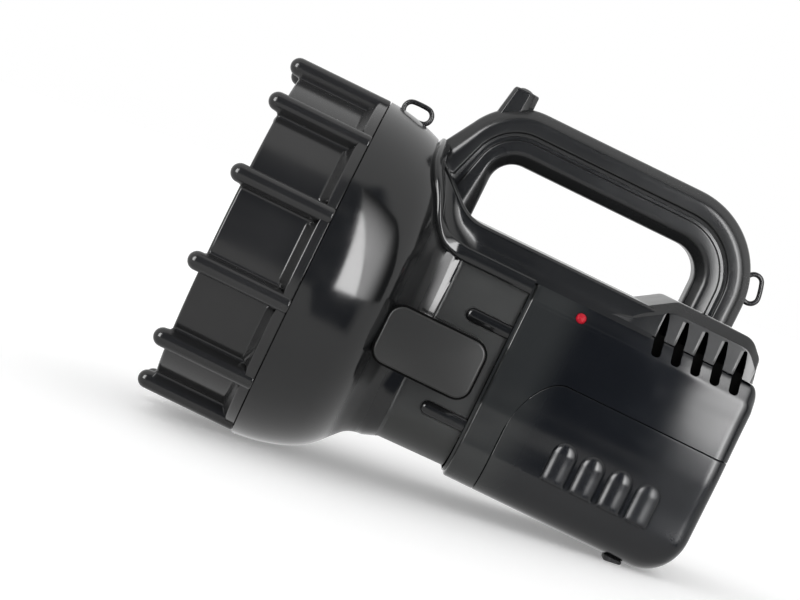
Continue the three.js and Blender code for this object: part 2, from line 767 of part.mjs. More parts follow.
function buildPad(side) {
  const depth = padThickness - padEdge;
  const geometry = new THREE.ExtrudeGeometry(padShape(-padEdge), {
    depth,
    bevelEnabled: true,
    bevelSize: padEdge,
    bevelThickness: padEdge,
    bevelSegments: 1,
    curveSegments: 3,
  });
  const axes = [new THREE.Vector3(1, 0, 0), new THREE.Vector3(0, 0, 1), new THREE.Vector3(0, -1, 0)];
  geometry.applyMatrix4(new THREE.Matrix4().makeBasis(...axes));
  const inner = padFace - padThickness;
  const plate = solid(geometry.translate(0, -padFace + padEdge + depth, 0));
  const keep = box(-headRadius, boxRearX, -padFace - overrun, -inner, -headRadius, headRadius);
  const trimmed = plate.intersect(keep);
  return side < 0 ? trimmed : trimmed.mirror([0, 1, 0]);
}

// Side outline of the deck, or of its band when the lip is not moved in
function deckOutline(inset) {
  const lowZ = lipZ + inset;
  const spanX = deckStartX - crestX - inset;
  const spanZ = crestZ - lowZ;
  const lip = lipShares.map(([a, b]) => [crestX + inset + a * spanX, lowZ + b * spanZ]);
  return [[crestX + inset / 2, crestZ - inset / 3], [rampEndX, rampEndZ], [deckStartX, deckTopZ]]
    .concat([[pedestalSlopeX, deckTopZ], [pedestalSlopeX, boxTopZ + gap], [neckEndX, boxTopZ + gap]])
    .concat([[neckEndX, lowZ], [deckStartX, lowZ]], lip);
}

// Front outline of the deck: its side walls lean in towards the top
function deckSection(inset) {
  const half = [[lipZ - overrun, pocketHalfWidth], [ledgeZ, pocketHalfWidth], [deckTopZ, deckHalfWidth],
    [crestZ, deckHalfWidth * 0.9]].map(([z, y]) => [y - inset, z]);
  return outline([...half, ...half.toReversed().map(([y, z]) => [-y, z])]);
}

function pedestalOutline(grow) {
  const shape = new THREE.Shape();
  shape.moveTo(pedestalFrontX - 2 * grow, boxTopZ + gap - grow);
  shape.lineTo(pedestalSlopeX - grow, pedestalTopZ + grow);
  shape.lineTo(pedestalTopEndX, pedestalTopZ + grow);
  const rear = pedestalRearX + grow;
  shape.bezierCurveTo((pedestalTopEndX + pedestalRearX) / 2, pedestalTopZ + grow,
    rear, pedestalTopZ - pedestalBevel, rear, pedestalTopZ - 2 * pedestalBevel);
  shape.lineTo(rear, boxTopZ + gap - grow);
  return shape;
}

function pedestalSection(inset, floorZ) {
  const top = pedestalTopZ - inset;
  const low = [[floorZ, pedestalHalfWidth], [top - pedestalBevelDrop, pedestalHalfWidth - pedestalBevel / 5]];
  const half = [...low, [top, pedestalHalfWidth - pedestalBevel]].map(([z, y]) => [y - inset, z]);
  return outline([...half, ...half.toReversed().map(([y, z]) => [-y, z])]);
}

function buildSaddle() {
  const half = boxHalfWidth;
  const body = sidePrism(outline(deckOutline(bandWidth)), -half, half)
    .intersect(crossPrism(deckSection(0), 0, boxRearX));
  const band = sidePrism(outline(deckOutline(0)), -half - overrun, half + overrun)
    .intersect(headEnvelope(lipProud))
    .intersect(box(crestX - overrun, neckEndX, -headRadius, headRadius, lipZ, crestZ));
  const strip = box(bowlEndX, neckEndX, -neckHalfWidth - lipProud, neckHalfWidth + lipProud, lipZ, ledgeZ);
  const hollowZ = deckTopZ - deckWall;
  const inner = pocketHalfWidth - 2 * deckWall;
  const frontX = neckStartX + deckWall;
  const upper = box(frontX, boxRearX, deckWall - deckHalfWidth, deckHalfWidth - deckWall, boxTopZ, hollowZ);
  const hollow = upper.add(box(frontX, neckEndX - deckWall, -inner, inner, 0, boxTopZ + overrun));
  return body.add(band).add(strip).subtract(hollow).subtract(headEnvelope(gap))
    .subtract(sidePrism(pedestalOutline(gap), -headRadius, headRadius));
}

// Stations of the handle, each an outer and an inner point [x, z] of its side outline
function handleStations() {
  const bendZ = gripTopZ - rearBendRadius;
  const innerRadius = rearBendRadius - gripThickness;
  const frontZ = gripTopZ - frontBendRadius;
  const gripLowZ = gripTopZ - gripThickness;
  const frontInner = frontBendX - frontLegInnerX;
  const arcStart = [frontBendX - frontBendRadius * Math.cos(frontBendAngle),
    frontZ + frontBendRadius * Math.sin(frontBendAngle)];
  const stations = [];
  const mix = (a, b, t) => [a[0] + (b[0] - a[0]) * t, a[1] + (b[1] - a[1]) * t];
  const root = [crestX, crestZ];
  const rampUp = new THREE.Vector2(crestZ - rampEndZ, rampEndX - crestX).normalize().multiplyScalar(gap);
  const rootOuter = [root[0] + rampUp.x, root[1] + rampUp.y];
  const rootInner = [frontLegInnerX, crestZ + (rampEndZ - crestZ) * (frontLegInnerX - crestX)
    / (rampEndX - crestX) + gap / Math.cos(Math.atan2(crestZ - rampEndZ, rampEndX - crestX))];
  const bendInner = [frontLegInnerX, gripLowZ - frontInner];
  for (let i = 0; i < legSteps; i += 1) {
    const t = i / legSteps;
    stations.push({ outer: mix(rootOuter, arcStart, t), inner: mix(rootInner, bendInner, t) });
  }
  for (let i = 0; i <= bendSteps; i += 1) {
    const t = i / bendSteps;
    const outerAngle = Math.PI - frontBendAngle - (Math.PI / 2 - frontBendAngle) * t;
    const innerAngle = Math.PI - (Math.PI / 2) * t;
    const outer = [Math.cos(outerAngle), Math.sin(outerAngle)].map((share) => frontBendRadius * share);
    const inner = [Math.cos(innerAngle), Math.sin(innerAngle)].map((share) => frontInner * share);
    stations.push({
      outer: [frontBendX + outer[0], frontZ + outer[1]],
      inner: [frontBendX + inner[0], gripLowZ - frontInner + inner[1]],
    });
  }
  for (let i = 0; i <= bendSteps; i += 1) {
    const angle = (Math.PI / 2) * (1 - i / bendSteps);
    const [c, s] = [Math.cos(angle), Math.sin(angle)];
    stations.push({
      outer: [rearBendX + rearBendRadius * c, bendZ + rearBendRadius * s],
      inner: [rearBendX + innerRadius * c, bendZ + innerRadius * s],
    });
  }
  const endZ = pedestalTopZ + gap;
  const [outerX, innerX] = [rearBendX + rearBendRadius, rearBendX + innerRadius];
  stations.push({ outer: [outerX, endZ], inner: [innerX, endZ] });
  return stations;
}

// Ring of the handle at a station from section points [n, y], n along the way from inner to outer
function handleRing(station, section) {
  const outer = new THREE.Vector2(...station.outer);
  const inner = new THREE.Vector2(...station.inner);
  const half = outer.distanceTo(inner) / 2;
  const centre = outer.clone().add(inner).multiplyScalar(1 / 2);
  const across = outer.clone().sub(inner).normalize();
  const at = ([n, y]) => new THREE.Vector3(centre.x + across.x * n, y, centre.y + across.y * n);
  return section(half).map(at);
}

// Section of one half of the handle, open towards the other half
function shellSection(half, side) {
  const start = gap / 2;
  const outerPoints = lobeShares.map(([n, y]) => [start + n * (half - start), (y * handleWidth) / 2]);
  const lining = liningShares.map(([n, y]) => [start + n * (half - start - handleWall),
    y * (handleWidth / 2 - handleWall)]);
  const ring = [...outerPoints, ...outerPoints.toReversed().map(([n, y]) => [n, -y]),
    ...lining.map(([n, y]) => [n, -y]), ...lining.toReversed()];
  return ring.map(([n, y]) => [side * n, y]);
}

// Whole outside of the handle's section, grown by an offset
function fullSection(half, grow) {
  const side = lobeShares.map(([n, y]) => [n * (half + grow), (y * handleWidth) / 2 + grow]);
  const upper = [...side, ...side.toReversed().map(([n, y]) => [n, -y])];
  return [...upper, ...upper.slice(1, -1).toReversed().map(([n, y]) => [-n, y])];
}

function handleBody(section, from = 0, to = undefined) {
  const stations = handleStations().slice(from, to);
  const rings = stations.map((station) => handleRing(station, section));
  const cap = section(gripThickness / 2).map(([n, y]) => new THREE.Vector2(n, y));
  return loft(rings, cap);
}

const gripMidZ = gripTopZ - gripThickness / 2;

function handleScrewCut(x) {
  const shank = cylinder(screwRadius + gap, gripThickness, smallSides / 2).rotateX(Math.PI / 2);
  const head = cylinder(screwHeadRadius + gap, gripThickness / 2, smallSides / 2).rotateX(Math.PI / 2);
  return solid(shank.translate(x, 0, gripMidZ - handleWall)).add(
    solid(head.translate(x, 0, gripMidZ - gripThickness / 2)));
}

const handleScrewHeadZ = gripMidZ - gripThickness / 4;

function buildHandleOuter() {
  let body = handleBody((half) => shellSection(half, 1));
  for (const x of handleScrewXs) {
    const height = gripThickness / 2 - handleWall / 2 - gap;
    const post = solid(cylinder(bossRadius, height, smallSides / 2).rotateX(Math.PI / 2)
      .translate(x, 0, gripMidZ + gap / 2 + height / 2));
    body = body.add(post).subtract(solid(cylinder(screwRadius + gap, height, smallSides / 2)
      .rotateX(Math.PI / 2).translate(x, 0, gripMidZ)));
  }
  body = body.subtract(buttonCutter(buttonStemRadius + slideGap)).subtract(headEnvelope(gap));
  return body.subtract(eyeletLoop(rearEyelet(), gap));
}

function buildHandleInner() {
  let body = handleBody((half) => shellSection(half, -1));
  for (const x of handleScrewXs) {
    const height = gripThickness / 2 - handleWall / 2 - gap;
    const post = solid(cylinder(bossRadius + gap, height, smallSides / 2).rotateX(Math.PI / 2)
      .translate(x, 0, gripMidZ - gap / 2 - height / 2));
    body = body.add(post).subtract(handleScrewCut(x));
  }
  return body.subtract(headEnvelope(gap));
}

function buildHandleScrew(x) {
  const body = screwAlongX(0, screwLength, 1);
  return body.rotate([0, -90, 0]).translate([x, 0, handleScrewHeadZ - gap]);
}

// Lean and foot of the button's axis in the turret
const turretLean = Math.atan2(turretTopFrontX - turretFrontX, turretTopZ - turretFrontZ) / 2;
const buttonAxisTop = new THREE.Vector3((turretTopFrontX + turretRearX) / 2, 0, turretTopZ);
const buttonDown = new THREE.Vector3(-Math.sin(turretLean), 0, -Math.cos(turretLean));

// Cylinder along the button's axis, from a depth below the turret's top
function buttonCylinder(radius, fromDepth, length, sides = smallSides) {
  const middle = buttonAxisTop.clone().addScaledVector(buttonDown, fromDepth + length / 2);
  return solid(cylinder(radius, length, sides).rotateX(Math.PI / 2).rotateY(turretLean)
    .translate(middle.x, middle.y, middle.z));
}

const buttonCutter = (radius) => buttonCylinder(radius, -overrun, gripThickness);

function buildTurret() {
  const lowZ = gripTopZ - gripThickness / 2;
  const run = ((turretTopFrontX - turretFrontX) * (turretTopZ - lowZ)) / (turretTopZ - turretFrontZ);
  const side = outline([[turretTopFrontX - run, lowZ], [turretRearX, lowZ], [turretRearX, turretTopZ],
    [turretTopFrontX, turretTopZ]]);
  const half = turretHalfWidth;
  const edge = turretChamfer;
  const nose = turretFrontX - edge - overrun;
  const right = [[half - edge, nose], [half, turretFrontX], [half, turretRearX - edge],
    [half - edge, turretRearX]];
  const plan = outline([...right, ...right.toReversed().map(([y, x]) => [-y, x])]);
  const planGeometry = new THREE.ExtrudeGeometry(plan, { depth: turretTopZ - lowZ, bevelEnabled: false });
  const axes = [new THREE.Vector3(0, 1, 0), new THREE.Vector3(1, 0, 0), new THREE.Vector3(0, 0, 1)];
  planGeometry.applyMatrix4(new THREE.Matrix4().makeBasis(...axes));
  const planBody = upright(solid(planGeometry.translate(0, 0, lowZ)), planGeometry);
  const handle = handleBody((h) => fullSection(h, gap), 1, legSteps + bendSteps + 2);
  const body = sidePrism(side, -half, half).intersect(planBody).subtract(handle);
  const reach = half + overrun;
  const above = box(0, turretRearX + overrun, -reach, reach, gripMidZ, turretTopZ + overrun);
  return body.intersect(above).subtract(buttonCutter(buttonRadius + slideGap));
}

// Button seated in the turret's bore, its crown level with the turret's top
function buildButton() {
  const crown = turned([[0, 0], [buttonDome / 2, buttonRadius * 0.7], [buttonDome, buttonRadius],
    [buttonDome + buttonCollar, buttonRadius], [buttonDome + buttonCollar, buttonStemRadius],
    [buttonStemEnd, buttonStemRadius], [buttonStemEnd, 0]], smallSides, false);
  return crown.rotate([0, 90 + THREE.MathUtils.radToDeg(turretLean), 0])
    .translate([buttonAxisTop.x, 0, buttonAxisTop.z]);
}

const switchTopDepth = turretTopZ - gripTopZ + handleWall + buttonTravel + switchDrop;
const buttonStemEnd = switchTopDepth - buttonTravel - gap;

function buildSwitchBody() {
  const [halfX, halfY] = [switchLength / 2, switchWidth / 2];
  const body = box(-halfX, halfX, -halfY, halfY, -switchHeight, 0);
  const top = buttonAxisTop.clone().addScaledVector(buttonDown, switchTopDepth);
  return body.rotate([0, THREE.MathUtils.radToDeg(turretLean), 0]).translate([top.x, 0, top.z]);
}

// Outer body of the battery box, drawn in by an inset
function boxBody(inset) {
  const side = new THREE.Shape();
  const [front, rear] = [boxFrontX + inset, boxRearX - inset];
  const [low, high] = [boxBottomZ + inset, boxTopZ - inset];
  const corner = boxCornerRadius - inset;
  side.moveTo(front, low);
  side.lineTo(rear - corner, low);
  side.absarc(rear - corner, low + corner, corner, -Math.PI / 2, 0);
  side.lineTo(rear, high - boxRearTopDrop);
  side.quadraticCurveTo(rear - boxRearTop / 6, high - boxRearTop / 2, rear - boxRearTop, high);
  side.lineTo(front, high);
  const middleZ = (boxShoulderZ + boxBottomZ + boxCornerRadius) / 2;
  const cross = new THREE.Shape();
  const half = boxHalfWidth - inset;
  cross.moveTo(-half + corner, low);
  cross.lineTo(half - corner, low);
  cross.absarc(half - corner, low + corner, corner, -Math.PI / 2, 0);
  cross.lineTo(half + boxCrown, middleZ);
  cross.lineTo(half, boxShoulderZ);
  cross.lineTo(boxTopHalfWidth - inset, high);
  cross.lineTo(-boxTopHalfWidth + inset, high);
  cross.lineTo(-half, boxShoulderZ);
  cross.lineTo(-half - boxCrown, middleZ);
  cross.absarc(-half + corner, low + corner, corner, Math.PI, 1.5 * Math.PI);
  return sidePrism(side, -boxHalfWidth - overrun, boxHalfWidth + overrun, 5)
    .intersect(crossPrism(cross, boxFrontX - overrun, boxRearX + overrun, 5));
}

// Region of the battery cover as a side prism, grown by an offset
function coverRegion(grow) {
  const front = coverFrontX - grow;
  const seam = coverSeamZ + grow;
  const far = boxRearX + overrun;
  const side = new THREE.Shape();
  side.moveTo(front, boxBottomZ - overrun);
  side.lineTo(far, boxBottomZ - overrun);
  side.lineTo(far, seam);
  side.lineTo(front + coverCorner, seam);
  const low = seam - coverCornerDrop;
  side.bezierCurveTo(front + coverCorner / 2, seam, front, (seam + low) / 2, front, low);
  return sidePrism(side, -boxHalfWidth - 2 * overrun, boxHalfWidth + 2 * overrun, 5);
}

const ventXs = Array.from({ length: ventCount }, (_, i) => firstVentX + i * ventPitch);

// Cutters of the vent slots, in the block's walls and in the box's sloping shoulder
function ventCutters() {
  const cutters = [];
  for (const x of ventXs) {
    const seam = boxTopZ + gap / 2;
    const [front, rear] = [x - ventWidth / 2, x + ventWidth / 2];
    const slot = outline([[front, seam], [rear, seam], [rear, ventTopZ], [front, ventTopZ]]);
    const low = outline([[front, seam], [front + ventLean, ventBottomZ], [rear + ventLean, ventBottomZ],
      [rear, seam]]);
    for (const [from, to] of bothSides(boxHalfWidth - ventDepth, boxHalfWidth + overrun)) {
      cutters.push(sidePrism(slot, from, to), sidePrism(low, from, to));
    }
  }
  return join(cutters);
}

const ledAxis = new THREE.Vector3(0, -(boxTopZ - boxShoulderZ), boxHalfWidth - boxTopHalfWidth).normalize();
const ledBase = new THREE.Vector3(ledX, -boxHalfWidth + ledRise * (boxHalfWidth - boxTopHalfWidth),
  boxShoulderZ + ledRise * (boxTopZ - boxShoulderZ));

// Places a body that runs along +X from the origin on the lamp's axis
function onLedAxis(body) {
  const angle = THREE.MathUtils.radToDeg(Math.atan2(-ledAxis.y, ledAxis.z));
  return body.rotate([0, -90, 0]).rotate([angle, 0, 0]).translate([ledBase.x, ledBase.y, ledBase.z]);
}

function buildLed() {
  const dome = ledRadius * Math.sin(Math.PI / 4);
  return onLedAxis(turned([[-ledLength, 0], [-ledLength, ledRadius], [ledProud - ledRadius / 2, ledRadius],
    [ledProud - ledRadius / 2 + dome / 2, dome], [ledProud, 0]], smallSides, false));
}

const capTopZ = socketZ + capHingeRise;
const capAxisX = boxRearX - capKnuckleRadius - gap;
const capRecess = 2 * capKnuckleRadius + 2 * gap;

function buildRearHousing() {
  const opening = crossPrism(roundedRectangle(-flangeOpeningWidth / 2, flangeOpeningWidth / 2,
    -flangeOpeningHeight / 2, flangeOpeningHeight / 2, flangeOpeningHeight / 6),
  boxFrontX - overrun, boxFrontX + wall + overrun, 3);
  const roofHole = box(pedestalSlopeX, pedestalSlopeX + gripThickness, -pedestalHalfWidth / 2,
    pedestalHalfWidth / 2, boxTopZ - 2 * wall, boxTopZ + overrun);
  const bossFront = boxRearX - socketBoss;
  const boss = box(bossFront, boxRearX - wall / 2, -capHalfSize - wall, capHalfSize + wall,
    socketZ - capHalfSize - wall, capTopZ + wall + capKnuckleRadius);
  const recess = box(boxRearX - capRecess, boxRearX + overrun, -capHalfSize - gap, capHalfSize + gap,
    socketZ - capHalfSize - gap, capTopZ + capKnuckleRadius + slideGap);
  const socketHole = solid(cylinder(socketRadius + gap, 4 * socketBoss).rotateZ(Math.PI / 2)
    .translate(boxRearX, 0, socketZ));
  const pinHole = solid(cylinder(capPinRadius + gap, capPinLength + 4 * gap, smallSides / 2)
    .translate(capAxisX, 0, capTopZ));
  let body = boxBody(0).subtract(boxBody(wall)).add(boss);
  for (const [low, high] of bothSides(boxHalfWidth - pedestalSideWall, boxTopHalfWidth)) {
    body = body.add(box(firstVentX - ventPitch, boxRearX - wall / 2, low, high,
      ventBottomZ - wall, boxTopZ - wall / 2).intersect(boxBody(wall / 2)));
  }
  body = body.subtract(coverRegion(coverGap)).subtract(opening).subtract(roofHole);
  body = body.subtract(recess).subtract(socketHole).subtract(pinHole);
  for (const [y, z] of neckScrewPlaces) {
    body = body.subtract(solid(cylinder(screwRadius + gap, screwLength, smallSides / 2)
      .rotateZ(Math.PI / 2).translate(boxFrontX, y, z)));
  }
  const ledHole = onLedAxis(turned([[-ledLength, 0], [-ledLength, ledRadius + gap],
    [overrun, ledRadius + gap], [overrun, 0]], smallSides, false));
  const seats = [];
  const innerY = shelfHalfWidth - 2 * wall;
  for (const [low, high] of bothSides(innerY, shelfHalfWidth)) {
    seats.push(box(shelfFrontX, shelfRearX, low, high, shelfTopZ + gap, coverSeamZ + 2 * wall));
  }
  for (const [low, high] of bothSides(innerY, boxHalfWidth - wall / 2)) {
    seats.push(box(shelfFrontX, shelfRearX, low, high, coverSeamZ + coverGap, coverSeamZ + 2 * wall));
  }
  body = body.add(join(seats)).subtract(ventCutters()).subtract(ledHole);
  for (const side of [-1, 1]) body = body.subtract(bandScrewHole(side));
  return body;
}

const shelfHalfWidth = boxHalfWidth - 2 * wall - gap;
const shelfFrontX = boxFrontX + 2 * wall;
const shelfRearX = boxRearX - 3 * wall;

function buildBatteryCover() {
  const shell = boxBody(0).subtract(boxBody(wall));
  const domeRadius = ((ribWidth / 2) ** 2 + ribProud ** 2) / (2 * ribProud);
  const axisY = boxHalfWidth + ribProud - domeRadius;
  const bulges = [];
  for (let i = 0; i < ribCount; i += 1) {
    for (const side of [-1, 1]) {
      const x = firstRibX + i * ribPitch;
      const crownZ = ribTopZ - ribWidth / 2;
      const bar = solid(cylinder(domeRadius, crownZ - ribBottomZ).rotateX(Math.PI / 2)
        .translate(x, side * axisY, (crownZ + ribBottomZ) / 2));
      const cap = solid(new THREE.SphereGeometry(domeRadius, smallSides, smallSides / 2)
        .rotateX(Math.PI / 2).translate(x, side * axisY, crownZ));
      const above = box(x - ribPitch, x + ribPitch, -boxRearX, boxRearX, ribBottomZ, ribTopZ + ribWidth);
      bulges.push(bar.add(cap.intersect(above)));
    }
  }
  return shell.add(join(bulges)).subtract(boxBody(wall)).intersect(coverRegion(0));
}

function buildFoot(side) {
  const top = boxBottomZ - gap;
  const shape = outline([[footX, floorAt(footX)], [footX + footLength, floorAt(footX + footLength)],
    [footX + footLength, top], [footX, top]]);
  const foot = sidePrism(shape, footInnerY, footInnerY + footWidth);
  return side < 0 ? foot.mirror([0, 1, 0]) : foot;
}

function buildPedestal() {
  const floorZ = boxTopZ + gap;
  const outer = sidePrism(pedestalOutline(0), -pedestalHalfWidth, pedestalHalfWidth)
    .intersect(crossPrism(pedestalSection(0, floorZ), pedestalFrontX - overrun, boxRearX));
  const innerY = pedestalHalfWidth - pedestalSideWall;
  const inner = sidePrism(pedestalOutline(-wall), -innerY, innerY);
  const openBelow = box(pedestalSlopeX, pedestalTopEndX, -innerY, innerY, floorZ - overrun,
    floorZ + 2 * wall);
  const wireHole = solid(cylinder(2 * wireRadius, 4 * wall, smallSides / 2).rotateX(Math.PI / 2)
    .translate(rearBendX + rearBendRadius - gripThickness / 2, 0, pedestalTopZ));
  return outer.subtract(inner).subtract(openBelow).subtract(wireHole).subtract(ventCutters());
}

function buildSocket() {
  const front = boxRearX - capRecess - gap;
  const back = front - socketLength;
  const floor = front - socketLength * 0.75;
  return turned([[back, 0], [back, socketRadius], [front, socketRadius], [front, socketBore],
    [floor, socketBore], [floor, 0]], smallSides, false).translate([0, 0, socketZ]);
}

function buildSocketCap() {
  const front = boxRearX - capRecess + gap;
  const plate = box(front, front + capThickness, -capHalfSize, capHalfSize, socketZ - capHalfSize,
    capTopZ - capKnuckleRadius - gap);
  const tongue = box(front, front + capThickness, -capKnuckleLength / 2, capKnuckleLength / 2,
    socketZ, capTopZ);
  const knuckle = solid(cylinder(capKnuckleRadius, capKnuckleLength, smallSides)
    .translate(capAxisX, 0, capTopZ));
  const bore = solid(cylinder(capPinRadius + gap / 2, 2 * capKnuckleLength, smallSides / 2)
    .translate(capAxisX, 0, capTopZ));
  return join([plate, tongue, knuckle]).subtract(bore);
}

function buildBattery() {
  const half = batteryWidth / 2;
  const rear = batteryFrontX + batteryLength;
  const block = box(batteryFrontX, rear, -half, half, batteryLowZ, batteryTopZ);
  const post = (y) => box(rear - overrun, rear + terminalSize, y - terminalSize / 2, y + terminalSize / 2,
    batteryTopZ - 2 * terminalSize, batteryTopZ - terminalSize);
  return join([block, post(-half / 2), post(half / 2)]);
}

function buildShelf() {
  const half = shelfHalfWidth;
  let body = box(shelfFrontX, shelfRearX, -half, half, shelfTopZ - shelfThickness, shelfTopZ);
  const notch = box(shelfFrontX - overrun, shelfFrontX + 2 * wireRadius + overrun, -half / 2, half / 2,
    shelfTopZ - 2 * shelfThickness, shelfTopZ + overrun);
  body = body.subtract(notch);
  for (const side of [-1, 1]) body = body.subtract(bandScrewHole(side));
  return body;
}

const bandScrewHole = (side) => solid(cylinder(screwRadius + gap, 2 * screwLength, smallSides / 2)
  .rotateX(Math.PI / 2).translate(bandMidX, side * bandScrewY, shelfTopZ));
const bandMidX = batteryFrontX + batteryLength / 2;
const bandScrewY = batteryWidth / 2 + bandThickness + gap + 1.6 * screwHeadRadius;

function buildBand() {
  const inner = batteryWidth / 2 + gap;
  const outer = inner + bandThickness;
  const low = batteryLowZ - gap;
  const top = shelfTopZ - shelfThickness - gap;
  const ear = bandScrewY + 1.3 * screwHeadRadius;
  const shape = outline([[-ear, top], [-inner, top], [-inner, low], [inner, low], [inner, top], [ear, top],
    [ear, top - bandThickness], [outer, top - bandThickness], [outer, low - bandThickness],
    [-outer, low - bandThickness], [-outer, top - bandThickness], [-ear, top - bandThickness]]);
  let body = crossPrism(shape, bandMidX - bandWidthX / 2, bandMidX + bandWidthX / 2);
  for (const side of [-1, 1]) body = body.subtract(bandScrewHole(side));
  return body;
}

function buildBandScrew(side) {
  const headZ = shelfTopZ - shelfThickness - gap - bandThickness - gap;
  const screw = screwAlongX(0, screwLength / 2, 1).rotate([0, -90, 0]);
  return screw.translate([bandMidX, side * bandScrewY, headZ]);
}

const boardMidX = boxFrontX + 2 * wall + boardLength / 2 + holderFlangeRadius;

function buildBoard() {
  const low = shelfTopZ + boardStand;
  const [front, rear] = [boardMidX - boardLength / 2, boardMidX + boardLength / 2];
  const parts = [box(front, rear, -boardWidth / 2, boardWidth / 2, low, low + boardThickness)];
  for (const x of [front + 2 * wall, rear - 2 * wall]) {
    for (const y of [-boardWidth / 2 + 2 * wall, boardWidth / 2 - 2 * wall]) {
      const half = wall / 2;
      parts.push(box(x - half, x + half, y - half, y + half, shelfTopZ + gap, low + boardThickness / 2));
    }
  }
  parts.push(box(boardMidX, boardMidX + boardPartHeight, -boardPartHeight, 0, low, low + boardPartHeight));
  parts.push(box(boardMidX - boardPartHeight, boardMidX - boardPartHeight / 2, 0, boardPartHeight, low,
    low + boardPartHeight / 2));
  return join(parts);
}

// Place on the rear face of the switch where its lead comes out
function switchLeadStart() {
  const place = buttonAxisTop.clone().addScaledVector(buttonDown, switchTopDepth + switchHeight / 2);
  return [place.x + switchLength / 2 + wireRadius * Math.tan(turretLean) + 2 * gap, 0, place.z];
}

function buildSwitchLead() {
  const besidePosts = bossRadius + gap + wireRadius + slideGap;
  const legX = rearBendX + rearBendRadius - gripThickness / 2;
  const bendZ = gripTopZ - rearBendRadius;
  const bendMid = (rearBendRadius - gripThickness / 2) * Math.SQRT1_2;
  const [startX, startY, startZ] = switchLeadStart();
  const endX = boardMidX + boardLength / 2 - terminalSize - holderBoss / 4;
  const boardTop = shelfTopZ + boardStand + boardThickness + gap;
  const between = (a, b, share) => a + (b - a) * share;
  return wireAlong([
    [startX, startY, startZ],
    [between(startX, handleScrewXs[0], 0.25), besidePosts / 3, between(startZ, gripMidZ, 0.5)],
    [between(startX, handleScrewXs[0], 0.6), besidePosts, gripMidZ],
    [handleScrewXs[0], besidePosts, gripMidZ],
    [between(handleScrewXs[0], handleScrewXs[1], 0.5), besidePosts, gripMidZ],
    [handleScrewXs[1], besidePosts, gripMidZ],
    [rearBendX, besidePosts, gripMidZ],
    [rearBendX + bendMid, besidePosts * 0.7, bendZ + bendMid],
    [legX, besidePosts / 4, bendZ],
    [legX, 0, pedestalTopZ],
    [between(legX, endX, 0.3), 0, boxTopZ],
    [between(legX, endX, 0.9), 0, between(boxTopZ, boardTop, 0.6)],
    [endX, 0, between(boxTopZ, boardTop, 0.85)],
    [endX, 0, boardTop],
  ], wireRadius);
}

function buildLampLead() {
  const start = holderBackX + holderBoss / 2 + gap;
  const boardFront = boardMidX - boardLength / 2 - gap;
  const boardZ = shelfTopZ + boardStand + boardThickness / 2;
  const between = (share) => start + (boardFront - start) * share;
  return wireAlong([
    [start, 0, 0],
    [between(0.14), 0, 0],
    [between(0.4), 0, bossRadius],
    [between(0.68), 0, 2 * bossRadius],
    [between(0.9), 0, boardZ + bossRadius / 2],
    [boardFront, 0, boardZ],
  ], wireRadius);
}

function buildBatteryLead(side) {
  const y = side * batteryWidth / 4;
  const rear = batteryFrontX + batteryLength + terminalSize - wireRadius / 2;
  const boardRear = boardMidX + boardLength / 2 + gap;
  const boardZ = shelfTopZ + boardStand + boardThickness / 2;
  const startZ = batteryTopZ - terminalSize + gap;
  return wireAlong([
    [rear, y, startZ],
    [rear, y, shelfTopZ - wireRadius],
    [rear - wireRadius, y, boardZ + wireRadius],
    [(rear + boardRear) / 2, y, boardZ + 2 * wireRadius],
    [boardRear + 2 * wireRadius, y, boardZ + wireRadius / 2],
    [boardRear, y, boardZ],
  ], wireRadius);
}

function addHead() {
  addPart('bezel_ring', buildBezelRing(), plastic(0.25));
  addPart('front_lens', buildLens(), clear());
  addPart('lens_gasket', turned([[gasketFrontX, stackRadius - gasketWidth], [gasketFrontX, stackRadius],
    [gasketBackX, stackRadius], [gasketBackX, stackRadius - gasketWidth]], innerSides), rubber());
  addPart('reflector', buildReflector(), mirror());
  addPart('bulb', buildBulb(), coloured(0xdfe6ea, 0.1));
  addPart('bulb_holder', buildBulbHolder(), coloured(0xd8d4c8, 0.6));
  addPart('bulb_clip', buildBulbClip(), steel());
  addPart('head_shell', buildHeadShell(), plastic(0.18));
  addPart('name_pad_left', buildPad(-1), plastic(0.3));
  addPart('name_pad_right', buildPad(1), plastic(0.3));
  addPart('front_strap_eyelet', eyeletLoop(frontEyelet(), 0), plastic(0.35));
}

function addHandle() {
  addPart('saddle', buildSaddle(), plastic());
  addPart('handle_outer', buildHandleOuter(), plastic());
  addPart('handle_inner', buildHandleInner(), plastic());
  addPart('rear_strap_eyelet', eyeletLoop(rearEyelet(), 0), plastic(0.35));
  addPart('switch_turret', buildTurret(), plastic());
  addPart('switch_button', buildButton(), rubber());
  addPart('switch_body', buildSwitchBody(), coloured(0x202226));
  handleScrewXs.forEach((x, i) => addPart(`handle_screw_${i + 1}`, buildHandleScrew(x), steel()));
}

function addBox() {
  addPart('vent_pedestal', buildPedestal(), plastic());
  addPart('rear_housing', buildRearHousing(), plastic(0.16));
  addPart('battery_cover', buildBatteryCover(), plastic(0.16));
  addPart('foot_left', buildFoot(-1), rubber());
  addPart('foot_right', buildFoot(1), rubber());
  addPart('indicator_led', buildLed(), coloured(0xe01020, 0.15));
  addPart('charge_socket', buildSocket(), coloured(0x101010));
  addPart('socket_cap', buildSocketCap(), rubber());
  addPart('cap_pin', solid(cylinder(capPinRadius, capPinLength, smallSides / 2)
    .translate(capAxisX, 0, capTopZ)), steel());
  neckScrewPlaces.forEach(([y, z], i) => {
    const screw = screwAlongX(boxFrontX + wall + gap, screwLength, -1).translate([0, y, z]);
    addPart(`neck_screw_${i + 1}`, screw, steel());
  });
}

